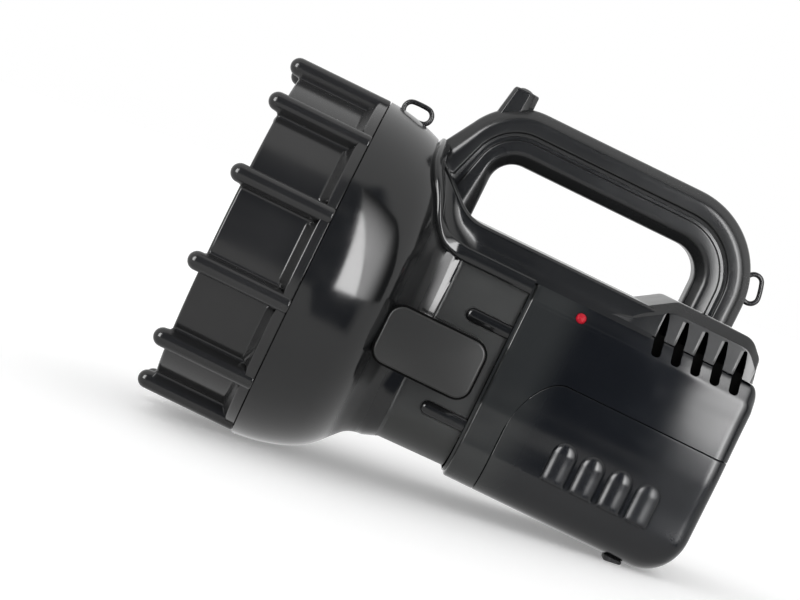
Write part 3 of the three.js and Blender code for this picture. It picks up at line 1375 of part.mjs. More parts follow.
function addInside() {
  addPart('battery', buildBattery(), coloured(0x2b3a55));
  addPart('battery_shelf', buildShelf(), plastic(0.5));
  addPart('battery_band', buildBand(), steel());
  addPart('band_screw_left', buildBandScrew(-1), steel());
  addPart('band_screw_right', buildBandScrew(1), steel());
  addPart('charge_board', buildBoard(), coloured(0x1d6b3a));
  addPart('lamp_lead', buildLampLead(), rubber());
  addPart('switch_lead', buildSwitchLead(), rubber());
  addPart('battery_lead_red', buildBatteryLead(-1), coloured(0xa01818));
  addPart('battery_lead_black', buildBatteryLead(1), rubber());
}

addHead();
addHandle();
addBox();
addInside();

// The lamp stands on its head and feet, with the middle of its footprint over the origin
const searchlight = new THREE.Group();
searchlight.name = 'searchlight';
lamp.rotation.y = tilt;
searchlight.add(lamp);
searchlight.updateMatrixWorld(true);
const bounds = new THREE.Box3().setFromObject(searchlight, true);
const middle = bounds.getCenter(new THREE.Vector3());
lamp.position.set(-middle.x, -middle.y, -bounds.min.z);

export default searchlight;
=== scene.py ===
"""Handheld searchlight with a round lamp head, a closed loop handle and a battery box.

Each piece is built in the lamp's own frame, in millimetres: X runs along the beam axis to the
rear, Z points up, X = 0 is the seam behind the screw ring and Z = 0 is the beam axis. The near
side, with the charge lamp, is -Y. Finished points are turned into the row's frame, in metres.
"""
import json
import math

import bmesh
import bpy
import numpy as np
from bpy.props import FloatProperty, FloatVectorProperty, PointerProperty
from mathutils import Matrix, Vector


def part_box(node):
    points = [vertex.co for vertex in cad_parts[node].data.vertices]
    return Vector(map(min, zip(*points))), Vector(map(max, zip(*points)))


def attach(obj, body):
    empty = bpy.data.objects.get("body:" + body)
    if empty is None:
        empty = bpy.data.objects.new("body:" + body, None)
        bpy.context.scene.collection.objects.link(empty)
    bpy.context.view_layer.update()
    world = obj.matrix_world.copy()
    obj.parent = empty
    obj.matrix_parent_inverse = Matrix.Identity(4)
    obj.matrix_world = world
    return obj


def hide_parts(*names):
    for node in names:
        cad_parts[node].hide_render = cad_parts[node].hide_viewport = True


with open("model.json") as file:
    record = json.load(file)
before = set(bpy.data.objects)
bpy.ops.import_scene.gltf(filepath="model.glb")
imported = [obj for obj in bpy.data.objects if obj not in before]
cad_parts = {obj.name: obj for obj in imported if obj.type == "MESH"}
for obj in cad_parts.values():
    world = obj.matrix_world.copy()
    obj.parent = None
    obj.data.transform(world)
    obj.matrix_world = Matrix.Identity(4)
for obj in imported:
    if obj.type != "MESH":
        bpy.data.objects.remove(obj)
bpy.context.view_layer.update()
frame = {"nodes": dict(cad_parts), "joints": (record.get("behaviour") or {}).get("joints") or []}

bl_info = {
    "name": "Handheld searchlight",
    "version": (1, 0, 0),
    "blender": (4, 5, 0),
    "location": "View3D > Sidebar > Searchlight",
    "description": "Builds a handheld searchlight piece by piece on its packed frame",
    "category": "Object",
}

MM = 0.001


# ---------------------------------------------------------------- lamp frame

def joint(name):
    """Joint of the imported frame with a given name."""
    return next(j for j in frame["joints"] if j["name"] == name)


def unit(vector):
    """Vectors scaled to a length of one."""
    vector = np.asarray(vector, float)
    return vector / np.maximum(np.linalg.norm(vector, axis=-1, keepdims=True), 1e-12)


ORIGIN = np.array(joint("ring_turn")["pos_m"], float)
AXIS_X = unit(joint("cover_slide")["axis"])
AXIS_Y = np.array([0.0, 1.0, 0.0])
AXIS_Z = np.cross(AXIS_X, AXIS_Y)
TURN = np.stack([AXIS_X, AXIS_Y, AXIS_Z])


def to_row(points):
    """Row-frame metres of points given in the lamp's millimetres."""
    return ORIGIN + MM * (np.asarray(points, float) @ TURN)


def to_lamp(points):
    """Lamp's millimetres of points given in row-frame metres."""
    return (np.asarray(points, float) - ORIGIN) @ TURN.T / MM


# ---------------------------------------------------------------- arrays and outlines

def ease(x, low, high):
    """Smooth step from 0 at low to 1 at high."""
    t = np.clip((np.asarray(x, float) - low) / (high - low), 0, 1)
    return t * t * (3 - 2 * t)


def rounded(corners, radii, steps=6, closed=True):
    """Polyline with a circle arc at each corner: a rational curve from one tangent point to the
    other through the corner, weighted with the cosine of half the turn."""
    corner = np.asarray(corners, float)
    radius = np.broadcast_to(np.asarray(radii, float), len(corner)).copy()
    if not closed:
        radius[[0, -1]] = 0
    back = unit(np.roll(corner, 1, 0) - corner)
    ahead = unit(np.roll(corner, -1, 0) - corner)
    half = (math.pi - np.arccos(np.clip(np.sum(back * ahead, 1), -1, 1))) / 2
    if not closed:
        half[[0, -1]] = 0
    reach = (radius * np.tan(half))[:, None]
    start, end = corner + back * reach, corner + ahead * reach
    s = np.linspace(0, 1, steps)[None, :, None]
    w = np.cos(half)[:, None, None]
    top = (1 - s) ** 2 * start[:, None] + 2 * s * (1 - s) * w * corner[:, None] + s ** 2 * end[:, None]
    return (top / ((1 - s) ** 2 + 2 * s * (1 - s) * w + s ** 2)).reshape(-1, corner.shape[1])


def resampled(line, count):
    """Line with `count` points at equal steps of its length."""
    line = np.asarray(line, float)
    length = np.concatenate([[0], np.cumsum(np.linalg.norm(np.diff(line, axis=0), axis=1))])
    at = np.linspace(0, length[-1], count)
    return np.stack([np.interp(at, length, line[:, k]) for k in range(line.shape[1])], 1)


def spread(*knots):
    """Numbers from knot to knot; each item is (value, steps to the next knot)."""
    values = [np.linspace(a[0], b[0], a[1], endpoint=False) for a, b in zip(knots, knots[1:])]
    return np.concatenate(values + [[knots[-1][0]]])


def quarter(depth, radius):
    """Inset of a rounded edge at a depth past its start: radius less the circle's height."""
    d = np.clip(radius - depth, 0, radius)
    return radius - np.sqrt(np.maximum(radius ** 2 - d ** 2, 0))


def squarish(value, power):
    """Values raised to a power with their signs kept: a circle's cosine and sine raised to less
    than one draw a rounded square."""
    return np.sign(value) * np.abs(value) ** power


def circle(count):
    """Angles at equal steps round a full turn."""
    return np.linspace(0, 2 * math.pi, count, endpoint=False)


# ---------------------------------------------------------------- meshes

class Skin:
    """Grids of points in the lamp's millimetres that are joined into one mesh."""

    def __init__(self):
        self.points, self.faces, self.count = [], [], 0

    def grid(self, points, wrap_rows=False, wrap_columns=False):
        """Adds the four-sided faces between the rows and columns of an array of points, which may
        also run on from the last row or column to the first."""
        points = np.asarray(points, float)
        rows, columns = points.shape[:2]
        index = np.arange(rows * columns).reshape(rows, columns) + self.count
        right, below = np.roll(index, -1, 1), np.roll(index, -1, 0)
        quads = np.stack([index, right, np.roll(below, -1, 1), below], -1)
        quads = quads[:rows if wrap_rows else -1, :columns if wrap_columns else columns - 1]
        self.points.append(points.reshape(-1, 3))
        self.faces.extend(quads.reshape(-1, 4).tolist())
        self.count += rows * columns
        return self

    def strip(self, first, second):
        """Adds the faces between two lines of points."""
        return self.grid(np.stack([first, second]))

    def cap(self, ring):
        """Closes a ring of points to its middle."""
        ring = np.asarray(ring, float)
        middle = np.broadcast_to(ring.mean(0), ring.shape)
        return self.grid(np.stack([ring, middle]), wrap_columns=True)

    def tube(self, rings, closed=False):
        """Joins rings of points one after the other, with both ends closed."""
        rings = np.asarray(rings, float)
        self.grid(rings, wrap_rows=closed, wrap_columns=True)
        if not closed:
            self.cap(rings[0]).cap(rings[-1])
        return self

    def mesh(self, name):
        """Mesh in row metres, its doubles merged and its faces turned outwards."""
        merge = 2e-6
        mesh = bpy.data.meshes.new(name)
        mesh.from_pydata(to_row(np.concatenate(self.points)), [], self.faces)
        bm = bmesh.new()
        bm.from_mesh(mesh)
        bmesh.ops.remove_doubles(bm, verts=bm.verts, dist=merge)
        bmesh.ops.dissolve_degenerate(bm, edges=bm.edges, dist=merge / 4)
        bmesh.ops.recalc_face_normals(bm, faces=bm.faces)
        bm.to_mesh(mesh)
        bm.free()
        return mesh


def turned(profile, sides, base=(0, 0, 0), direction=(1, 0, 0)):
    """Rings of a profile [distance along the axis, radius] turned about an axis."""
    profile = np.asarray(profile, float)
    along = unit(direction)
    side = unit(np.cross(along, (0, 1, 0) if abs(along[1]) < 0.9 else (1, 0, 0)))
    other = np.cross(along, side)
    angle = circle(sides)
    round_ = np.cos(angle)[:, None] * side + np.sin(angle)[:, None] * other
    return np.asarray(base, float) + profile[:, :1, None] * along + profile[:, 1:, None] * round_


def plate(outline_at, levels, place):
    """Rings of a flat plate: outline_at(inset) gives its outline, levels are [height, inset] and
    place turns outline points and a height into lamp points."""
    return np.stack([place(outline_at(inset), height) for height, inset in levels])


def rectangle(low_x, high_x, low_z, high_z, radius, steps=8):
    """Outline of a rounded rectangle at an inset from its edge."""
    def at(inset):
        x0, x1, z0, z1 = low_x + inset, high_x - inset, low_z + inset, high_z - inset
        r = max(min(radius, (high_x - low_x) / 2 - 0.01, (high_z - low_z) / 2 - 0.01) - inset, 0.05)
        return rounded([[x0, z0], [x1, z0], [x1, z1], [x0, z1]], r, steps)
    return at


def on_side(side):
    """Places an outline in X and Z at a distance out from the middle plane."""
    return lambda line, out: np.stack([line[:, 0], np.full(len(line), side * out), line[:, 1]], 1)


def on_rear(line, x):
    """Places an outline in Y and Z at a distance along the axis."""
    return np.stack([np.full(len(line), x), line[:, 0], line[:, 1]], 1)


def both(points):
    """Near half joined with its mirror image, the middle column shared."""
    return np.concatenate([points, points[:, -2::-1] * MIRROR], 1)


def swept(path, section, up):
    """Rings of a section [across, up] carried along a path: the section's upward direction is
    `up` at each point, made square to the path."""
    path = np.asarray(path, float)
    along = unit(np.gradient(path, axis=0))
    up = unit(up - along * np.sum(up * along, 1, keepdims=True))
    across = np.cross(along, up)
    section = np.broadcast_to(section, (len(path),) + np.shape(section)[-2:])
    return path[:, None] + section[..., :1] * across[:, None] + section[..., 1:] * up[:, None]


def carve(obj, cutter, finish=None):
    """Cuts a closed skin out of a piece; a finish goes on the cut faces."""
    tool = bpy.data.objects.new("cutter", cutter.mesh("cutter"))
    if finish:
        tool.data.materials.append(finish)
    bpy.context.scene.collection.objects.link(tool)
    step = obj.modifiers.new("carve", "BOOLEAN")
    step.operation = "DIFFERENCE"
    step.solver = "EXACT"
    step.use_hole_tolerant = True
    step.material_mode = "TRANSFER" if finish else "INDEX"
    step.object = tool
    graph = bpy.context.evaluated_depsgraph_get()
    cut = bpy.data.meshes.new_from_object(obj.evaluated_get(graph))
    if not len(cut.polygons):
        raise RuntimeError("nothing is left of " + obj.name)
    obj.modifiers.remove(step)
    obj.data = cut
    bpy.data.objects.remove(tool)


def piece(name, skin, body, finish, replaces=(), crease=38):
    """Adds a finished piece that rides on a body."""
    obj = bpy.data.objects.new(name, skin.mesh(name))
    bpy.context.scene.collection.objects.link(obj)
    obj.data.materials.append(finish)
    shade(obj, crease)
    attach(obj, body)
    if replaces:
        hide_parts(*replaces)
    return obj


def shade(obj, crease=38):
    """Smooth shading with sharp edges where faces meet at more than the crease angle."""
    obj.data.shade_smooth()
    obj.data.set_sharp_from_angle(angle=math.radians(crease))


# ---------------------------------------------------------------- materials

class Value:
    """A shader value; arithmetic on it adds Math nodes."""

    def __init__(self, nodes, socket):
        self.nodes, self.socket = nodes, socket

    def _math(self, operation, *terms):
        """Result of a Math node with the given operation on the terms."""
        return self.nodes.node("ShaderNodeMath", {"operation": operation}, *terms)

    def __add__(self, other): return self._math("ADD", self, other)
    def __radd__(self, other): return self._math("ADD", other, self)
    def __sub__(self, other): return self._math("SUBTRACT", self, other)
    def __rsub__(self, other): return self._math("SUBTRACT", other, self)
    def __mul__(self, other): return self._math("MULTIPLY", self, other)
    def __truediv__(self, other): return self._math("DIVIDE", self, other)
    def __pow__(self, other): return self._math("POWER", self, other)
    def __abs__(self): return self._math("ABSOLUTE", self)

    # Comparisons, the larger of two values, and the sine and angles as their names say.
    def above(self, edge): return self._math("GREATER_THAN", self, edge)
    def below(self, edge): return self._math("LESS_THAN", self, edge)
    def at_least(self, low): return self._math("MAXIMUM", self, low)
    def sine(self): return self._math("SINE", self)
    def arcsine(self): return self._math("ARCSINE", self)
    def arctangent(self): return self._math("ARCTANGENT", self)
    def angle_from(self, other): return self._math("ARCTAN2", self, other)

    def steps(self, low, high):
        """Smooth step of the value from 0 at low to 1 at high."""
        return self.nodes.node("ShaderNodeMapRange", {"interpolation_type": "SMOOTHSTEP", "clamp": True},
                               self, low, high, 0.0, 1.0)


class Nodes:
    """Emptied node tree of a material or the world; `place` is the wanted kind of coordinates."""

    def __init__(self, owner, place):
        owner.use_nodes = True
        self.tree = owner.node_tree
        self.tree.nodes.clear()
        self.place = self.node("ShaderNodeTexCoord", {}, out=place)

    def node(self, kind, settings, *values, out=0, **named):
        """Adds a node: its settings first, then values or links on its sockets in order, where None
        leaves a socket alone, and named ones by their socket's name. Gives one output as a value."""
        node = self.tree.nodes.new(kind)
        for key, setting in settings.items():
            setattr(node, key, setting)
        for socket, value in zip(node.inputs, values):
            if value is not None:
                self.fill(socket, value)
        for key, value in named.items():
            self.fill(node.inputs[key], value)
        return Value(self, node.outputs[out]) if node.outputs else None

    def fill(self, socket, value):
        """Links a value to a socket, or sets a number, a vector or a colour on it."""
        if isinstance(value, Value):
            self.tree.links.new(value.socket, socket)
        else:
            socket.default_value = (*value, 1) if socket.type == "RGBA" else value

    def blend(self, factor, first, second):
        """Colour between two others."""
        return self.node("ShaderNodeMix", {"data_type": "RGBA"}, factor, *[None] * 5, first, second, out=2)

    def noise(self, scale, detail=3.0, roughness=0.5, at=None):
        """Soft noise with values round a half, at the place or at another vector."""
        return self.node("ShaderNodeTexNoise", {}, at or self.place, None, scale, detail, roughness)

    def along(self, direction):
        """Reach of the place along a direction."""
        return self.node("ShaderNodeVectorMath", {"operation": "DOT_PRODUCT"}, self.place, tuple(direction),
                         out="Value")

    def axes(self, at):
        """The three parts of a vector."""
        first = self.node("ShaderNodeSeparateXYZ", {}, at)
        return [Value(self, output) for output in first.socket.node.outputs]


class Finish(Nodes):
    """Material with a principled surface, in Object coordinates."""

    def __init__(self, name):
        self.material = bpy.data.materials.new(name)
        super().__init__(self.material, "Object")
        surface = self.node("ShaderNodeBsdfPrincipled", {})
        self.node("ShaderNodeOutputMaterial", {}, surface)
        self.surface = surface.socket.node

    def mapped(self, turn=(0, 0, 0), scale=(1, 1, 1)):
        """Turned and scaled place."""
        return self.node("ShaderNodeMapping", {}, self.place, None, turn, scale)

    def lamp_axis(self, axis):
        """Place along one axis of the lamp, in millimetres."""
        return self.along(axis / MM) - float(ORIGIN @ axis / MM)

    def bump(self, height, distance):
        """Normal tilted by a height, which stands for a share of the distance."""
        return self.node("ShaderNodeBump", {}, 1.0, distance, Height=height)

    def set(self, **values):
        """Sets sockets of the surface; underscores stand for spaces in their names."""
        for key, value in values.items():
            self.fill(self.surface.inputs[key.replace("_", " ")], value)


DUSTY, PALER = 0.35, 0.05


def moulded(name, colour, rough, grain=0.000004, satin=None, painted_front_sheen=None, wave=0.0):
    """Glossy moulded plastic: faint haze and smudges in the gloss, an orange-peel ripple and a trace
    of dust on faces that look up. `satin` is the paler, duller colour of the neck's pocket behind the
    bowl, whose fall is duller too. The paler front colour is a painted reflection on the box's front,
    which is duller on its ribs and towards the rear. `wave` is the height of long streaks in the surface."""
    f = Finish(name)
    haze = f.noise(9, 4, 0.6).steps(0.35, 0.7)
    smudge = f.noise(38, 5, 0.65).steps(0.5, 0.72)
    fine = f.noise(1400, 2, 0.5)
    speck = f.noise(900, 1, 0.5).steps(0.72, 0.8)
    looks_up = f.axes(f.node("ShaderNodeNewGeometry", {}, out="Normal"))[2].steps(0.5, 1)
    base = f.blend(haze, tuple(c * 0.72 for c in colour), colour)
    rough = rough + haze * 0.05 + smudge * 0.05 + looks_up * 0.05
    # painted reflection: a paler colour on the box's front that fades out towards the rear
    if painted_front_sheen:
        base = f.blend(f.lamp_axis(AXIS_X).steps(116, 136), painted_front_sheen, base)
        ribs, rear = abs(f.lamp_axis(AXIS_Y)).steps(51.2, 52), f.lamp_axis(AXIS_X).steps(176, 205)
        rough = rough + ribs * 0.12 + rear * 0.13
    if satin:
        behind = f.lamp_axis(AXIS_X).steps(63.7, 64.5) * (1 - f.lamp_axis(AXIS_X).steps(102, 108))
        pocket = behind * (1 - abs(f.lamp_axis(AXIS_Y)).steps(46.1, 46.7))
        base = f.blend(pocket, base, satin)
        fall = f.lamp_axis(AXIS_X).steps(40, 47) * (1 - f.lamp_axis(AXIS_X).steps(54, 57))
        rough = rough + pocket * 0.26 + fall * 0.24
    ripple = f.noise(260, 2, 0.5) + fine * 0.3 + f.noise(22, 2, 0.5) * 20
    if wave:
        streak = f.node("ShaderNodeCombineXYZ", {},
                        f.lamp_axis(AXIS_X) * 0.006, 0.0, f.lamp_axis(AXIS_Z) * 0.045)
        ripple = ripple + f.noise(1.0, 1, 0.4, streak) * (wave / grain)
    f.set(Base_Color=f.blend(looks_up * speck * DUSTY, base, tuple(PALER + c for c in colour)),
          Roughness=rough, Normal=f.bump(ripple, grain))
    return f.material


def mottled(name, noise, low, high, rough, rougher, depth=0.0, **surface):
    """Finish whose colour, roughness and relief follow one noise [scale, detail, roughness]: from the
    low colour to the high one, from `rough` to `rougher` more, and as deep as the depth."""
    f = Finish(name)
    mottle = f.noise(*noise)
    if depth:
        surface["Normal"] = f.bump(mottle, depth)
    f.set(Base_Color=f.blend(mottle, low, high), Roughness=rough + mottle * rougher, **surface)
    return f.material


FINISHES = {}


def build_finishes(colours):
    """Makes the material of every slot."""
    shell = tuple(colours.shell)
    FINISHES["ring"] = moulded("ring_plastic", tuple(colours.ring), 0.13)
    FINISHES["shell"] = moulded("shell_plastic", shell, 0.09, satin=(0.029, 0.030, 0.029))
    FINISHES["saddle"] = moulded("saddle_plastic", tuple(1.3 * c for c in shell), 0.12)
    FINISHES["grip"] = moulded("grip_plastic", tuple(1.25 * c for c in shell), 0.22)
    # the box's paler front colour is a painted reflection
    FINISHES["box"] = moulded("box_plastic", tuple(colours.box), 0.06, painted_front_sheen=(0.031, 0.033, 0.033), wave=0.0011)
    FINISHES["plate"] = moulded("plate_plastic", (0.031, 0.031, 0.030), 0.3, grain=0.00001)
    FINISHES["inner"] = moulded("inner_plastic", (0.014, 0.014, 0.015), 0.42)
    FINISHES["rubber"] = mottled("rubber", (700, 4, 0.6), (0.006,) * 3, (0.016, 0.016, 0.017),
                                 0.62, 0.22, 0.00012)
    FINISHES["wire_black"] = mottled("wire_sleeve_black", (500, 3, 0.6), (0.008,) * 3, (0.02,) * 3,
                                     0.36, 0.2, 0.00005)
    FINISHES["wire_red"] = mottled("wire_sleeve_red", (500, 3, 0.6), (0.30, 0.012, 0.01), (0.42, 0.022, 0.018),
                                   0.36, 0.2, 0.00005)
    FINISHES["holder"] = mottled("holder_ceramic", (800, 4, 0.6), (0.66, 0.65, 0.61), (0.76, 0.75, 0.72),
                                 0.45, 0.2, 0.00006)
    # near-black and barely glossy: painted shade for the vents' cut faces, the gap under the plates and the
    # sheets behind the vents and the seam
    FINISHES["dark"] = mottled("slot_dark", (300, 3, 0.5), (0.002,) * 3, (0.005,) * 3, 0.8, 0.15,
                               Specular_IOR_Level=0.05)
    FINISHES["lens"] = mottled("clear_lens", (20, 3, 0.5), (0.95, 0.97, 0.98), (0.99, 1.0, 1.0), 0.01, 0.03,
                               IOR=1.49, Transmission_Weight=1.0)
    FINISHES["bulb"] = mottled("bulb_glass", (300, 3, 0.5), (0.93, 0.95, 0.95), (1.0, 1.0, 1.0), 0.03, 0.05,
                               IOR=1.47, Transmission_Weight=0.85)

    f = Finish("coated_wire")
    drop = f.noise(420, 3, 0.5)
    f.set(Base_Color=f.blend(drop.steps(0.4, 0.7), (0.006, 0.006, 0.007), (0.014, 0.014, 0.015)),
          Roughness=0.2 + drop * 0.16, Normal=f.bump(drop, 0.00005))
    FINISHES["eyelet"] = f.material

    f = Finish("steel")
    brushed = f.noise(1, 4, 0.6, f.mapped(scale=(2600, 240, 240)))
    stain = f.noise(60, 3, 0.6).steps(0.5, 0.8)
    f.set(Base_Color=f.blend(stain, (0.52, 0.53, 0.54), (0.4, 0.39, 0.37)), Metallic=1.0,
          Roughness=0.24 + brushed * 0.16 + stain * 0.1, Normal=f.bump(brushed, 0.00003))
    FINISHES["steel"] = f.material

    f = Finish("mirror_silver")
    wash = f.noise(30, 3, 0.5)
    f.set(Base_Color=f.blend(wash, (0.86, 0.87, 0.88), (0.93, 0.93, 0.93)), Metallic=1.0,
          Roughness=0.05 + wash * 0.05, Normal=f.bump(f.noise(120, 2, 0.5), 0.00002))
    FINISHES["mirror"] = f.material

    f = Finish("charge_lamp_red")
    core = f.noise(500, 3, 0.5)
    f.set(Base_Color=f.blend(core, (0.30, 0.004, 0.010), (0.42, 0.008, 0.018)), Roughness=0.34 + core * 0.1,
          Specular_IOR_Level=0.25,
          Emission_Color=f.blend(core, (0.12, 0.002, 0.006), (0.18, 0.003, 0.012)), Emission_Strength=1.0)
    FINISHES["led"] = f.material

    f = Finish("battery_case")
    along = f.axes(f.mapped(turn=(0, math.atan2(AXIS_X[2], AXIS_X[0]), 0)))
    panel = (along[2] * 900).sine().above(0.92)
    scuff = f.noise(160, 5, 0.65).steps(0.55, 0.75)
    case = f.blend(panel, (0.05, 0.055, 0.06), (0.035, 0.038, 0.042))
    f.set(Base_Color=f.blend(scuff, case, (0.09, 0.09, 0.09)), Roughness=0.38 + scuff * 0.25,
          Normal=f.bump(f.noise(900, 3, 0.5) - panel * 0.6, 0.0001))
    FINISHES["battery"] = f.material

    f = Finish("circuit_board")
    sheet = f.noise(90, 4, 0.6)
    copper = f.node("ShaderNodeTexVoronoi", {"feature": "DISTANCE_TO_EDGE"}, f.place, None, 260.0).below(0.06)
    lacquer = f.blend(sheet, (0.012, 0.06, 0.03), (0.02, 0.09, 0.045))
    f.set(Base_Color=f.blend(copper, lacquer, (0.03, 0.13, 0.06)),
          Roughness=0.32 + sheet * 0.15, Normal=f.bump(copper, 0.00004))
    FINISHES["board"] = f.material


# ---------------------------------------------------------------- shapes of the lamp head

# The head's largest radius and the radius of its shoulder, the slopes where the shoulder and the
# foot end, places along the axis, half sizes of the neck, the blank plate [low x, high x, low z,
# high z, corner], its face and thickness, and the flat pocket behind the bowl.
HEAD_R, SHOULDER_R = 91.4, 85.0
SHOULDER_END, FOOT_END = math.radians(21.7), math.radians(4)
SHOULDER_X, BOWL_END, NECK_X, NECK_END = -3.5, 64.0, 66.0, 100.5
NECK_HALF, NECK_HIGH, NECK_LOW, LIP_HALF = 48.5, 59.8, 59.0, 50.1
PLATE = (43.5, 93.5, -22.3, 6.6, 7.0)
PLATE_FACE, PLATE_THICK = 73.5, 2.4
POCKET_HALF, NECK_TOP, NECK_OPEN = 45.5, 36.9, 62.0
SQUARENESS = 4.2
MIRROR = np.array([1.0, -1.0, 1.0])

# Places along the axis from the ring's front to the bowl's mouth, the outer radius of what lies
# between them, its thickness, the walls' thickness, the gap at a seam and the thread's size.
RING_FRONT, GLASS_X, SEAL_X, FLANGE_X, MOUTH_X = -45.6, -41.9, -38.6, -35.3, -33.4
STACK_R, LAYER, WALL, GAP = HEAD_R - 11.6, 3.0, 2.6, 0.3
THREAD_PITCH, THREAD_DEPTH = 4.0, 0.22

# The saddle: the crest where it meets the bowl's top, the deck behind, the ledge over the pocket,
# and the lip that sweeps up the bowl as shares of the way from the deck to the crest.
CREST = np.array([29.9, 82.0])
DECK_X, DECK_TOP, LEDGE, LIP = 64.5, 57.0, 43.4, 37.2
LIP_SHARES = np.array([[1, 0], [0.8, 0.012], [0.595, 0.069], [0.422, 0.235], [0.345, 0.36], [0.276, 0.49],
                       [0.118, 0.667], [0.0, 0.855], [0, 0.965]])


def ramp_height(x):
    """Height of the saddle's upper edge: a slope, an arc and the level deck."""
    line = rounded([CREST, [59, DECK_TOP], [90, DECK_TOP]], 17, 24, closed=False)
    return np.interp(x, line[:, 0], line[:, 1])


def head_outline(turn_r, steep, fall, foot_r):
    """Outline [x, radius] of the bowl: a wide shoulder arc, a tighter turn, a straight fall and a
    hollow arc into the neck."""
    a = np.linspace(math.asin((GAP - SHOULDER_X) / SHOULDER_R), SHOULDER_END, 18)
    shoulder = np.stack([SHOULDER_X + SHOULDER_R * np.sin(a), HEAD_R - SHOULDER_R + SHOULDER_R * np.cos(a)], 1)
    a = np.linspace(SHOULDER_END, steep, 14)[1:]
    turn = shoulder[-1] + turn_r * np.stack([np.sin(a) - math.sin(SHOULDER_END),
                                             np.cos(a) - math.cos(SHOULDER_END)], 1)
    fall = turn[-1] + fall * np.linspace(0, 1, 5)[1:, None] * [math.cos(steep), -math.sin(steep)]
    a = np.linspace(steep, FOOT_END, 16)[1:]
    foot = fall[-1] + foot_r * np.stack([math.sin(steep) - np.sin(a), math.cos(steep) - np.cos(a)], 1)
    return np.concatenate([shoulder, turn, fall, foot])


BOWL = head_outline(38.0, math.radians(50), 8.6, 14.0)
BOWL_SIDE = head_outline(31.0, math.radians(62), 13.2, 18.0)
TURN_X = BOWL[30, 0]


def head_sizes(x):
    """Half width, half height and squareness of the head's section at places along the axis."""
    x = np.asarray(x, float)
    end_high = NECK_HIGH + (BOWL[-1, 1] - NECK_HIGH) / 4
    above = np.concatenate([BOWL, [[BOWL_END, end_high], [NECK_X, NECK_HIGH], [NECK_END, NECK_LOW]]])
    beside = np.concatenate([BOWL_SIDE[BOWL_SIDE[:, 0] < BOWL_END - 0.2],
                             [[BOWL_END, LIP_HALF], [NECK_X, NECK_HALF], [NECK_END, NECK_HALF]]])
    half, high = (np.interp(x, line[:, 0], line[:, 1]) for line in (beside, above))
    return half, high, 2 + (SQUARENESS - 2) * ease(x, TURN_X, BOWL_END)


def head_points(x, angle, grow=0.0, clamp=np.inf):
    """Points of the head's section: in the direction of the angle, the reach is the size at which
    the shares across and up, raised to the squareness, add up to one. The clamp cuts the sides."""
    half, high, power = head_sizes(x)
    c, s = np.cos(angle), np.sin(angle)
    reach = (np.abs(c / (half + grow)) ** power + np.abs(s / (high + grow)) ** power) ** (-1 / power)
    y, z = np.clip(reach * c, -clamp, clamp), reach * s
    return np.stack([np.broadcast_to(x, y.shape), y, z], -1)


def head_normals(x, angle):
    """Outward directions of the head's surface, from the slopes of its points."""
    step = 0.05
    here = head_points(x, angle)
    along = head_points(x + step, angle) - here
    round_ = head_points(x, angle + 0.001) - here
    normal = unit(np.cross(round_, along))
    return normal * np.sign(np.sum(normal * here * [0, 1, 1], -1, keepdims=True))


def around(x, r, angle):
    """Points at distances along the axis, radii and angles round it."""
    return np.stack([np.broadcast_to(x, r.shape), r * np.cos(angle), r * np.sin(angle)], -1)


def threaded(profile, angle, start, end, sunk=0.0):
    """Profile [x, radius] turned about the axis with a thread, a sine that moves on with the angle;
    the thread sets in over the span `start`, runs out over the span `end` and may lie sunk."""
    x = profile[:, :1]
    grooved = ease(x, *start) * (1 - ease(x, *end))
    turn = angle[None] - x * 2 * math.pi / THREAD_PITCH
    return around(x, profile[:, 1:] + (THREAD_DEPTH * np.sin(turn) - sunk) * grooved, angle)


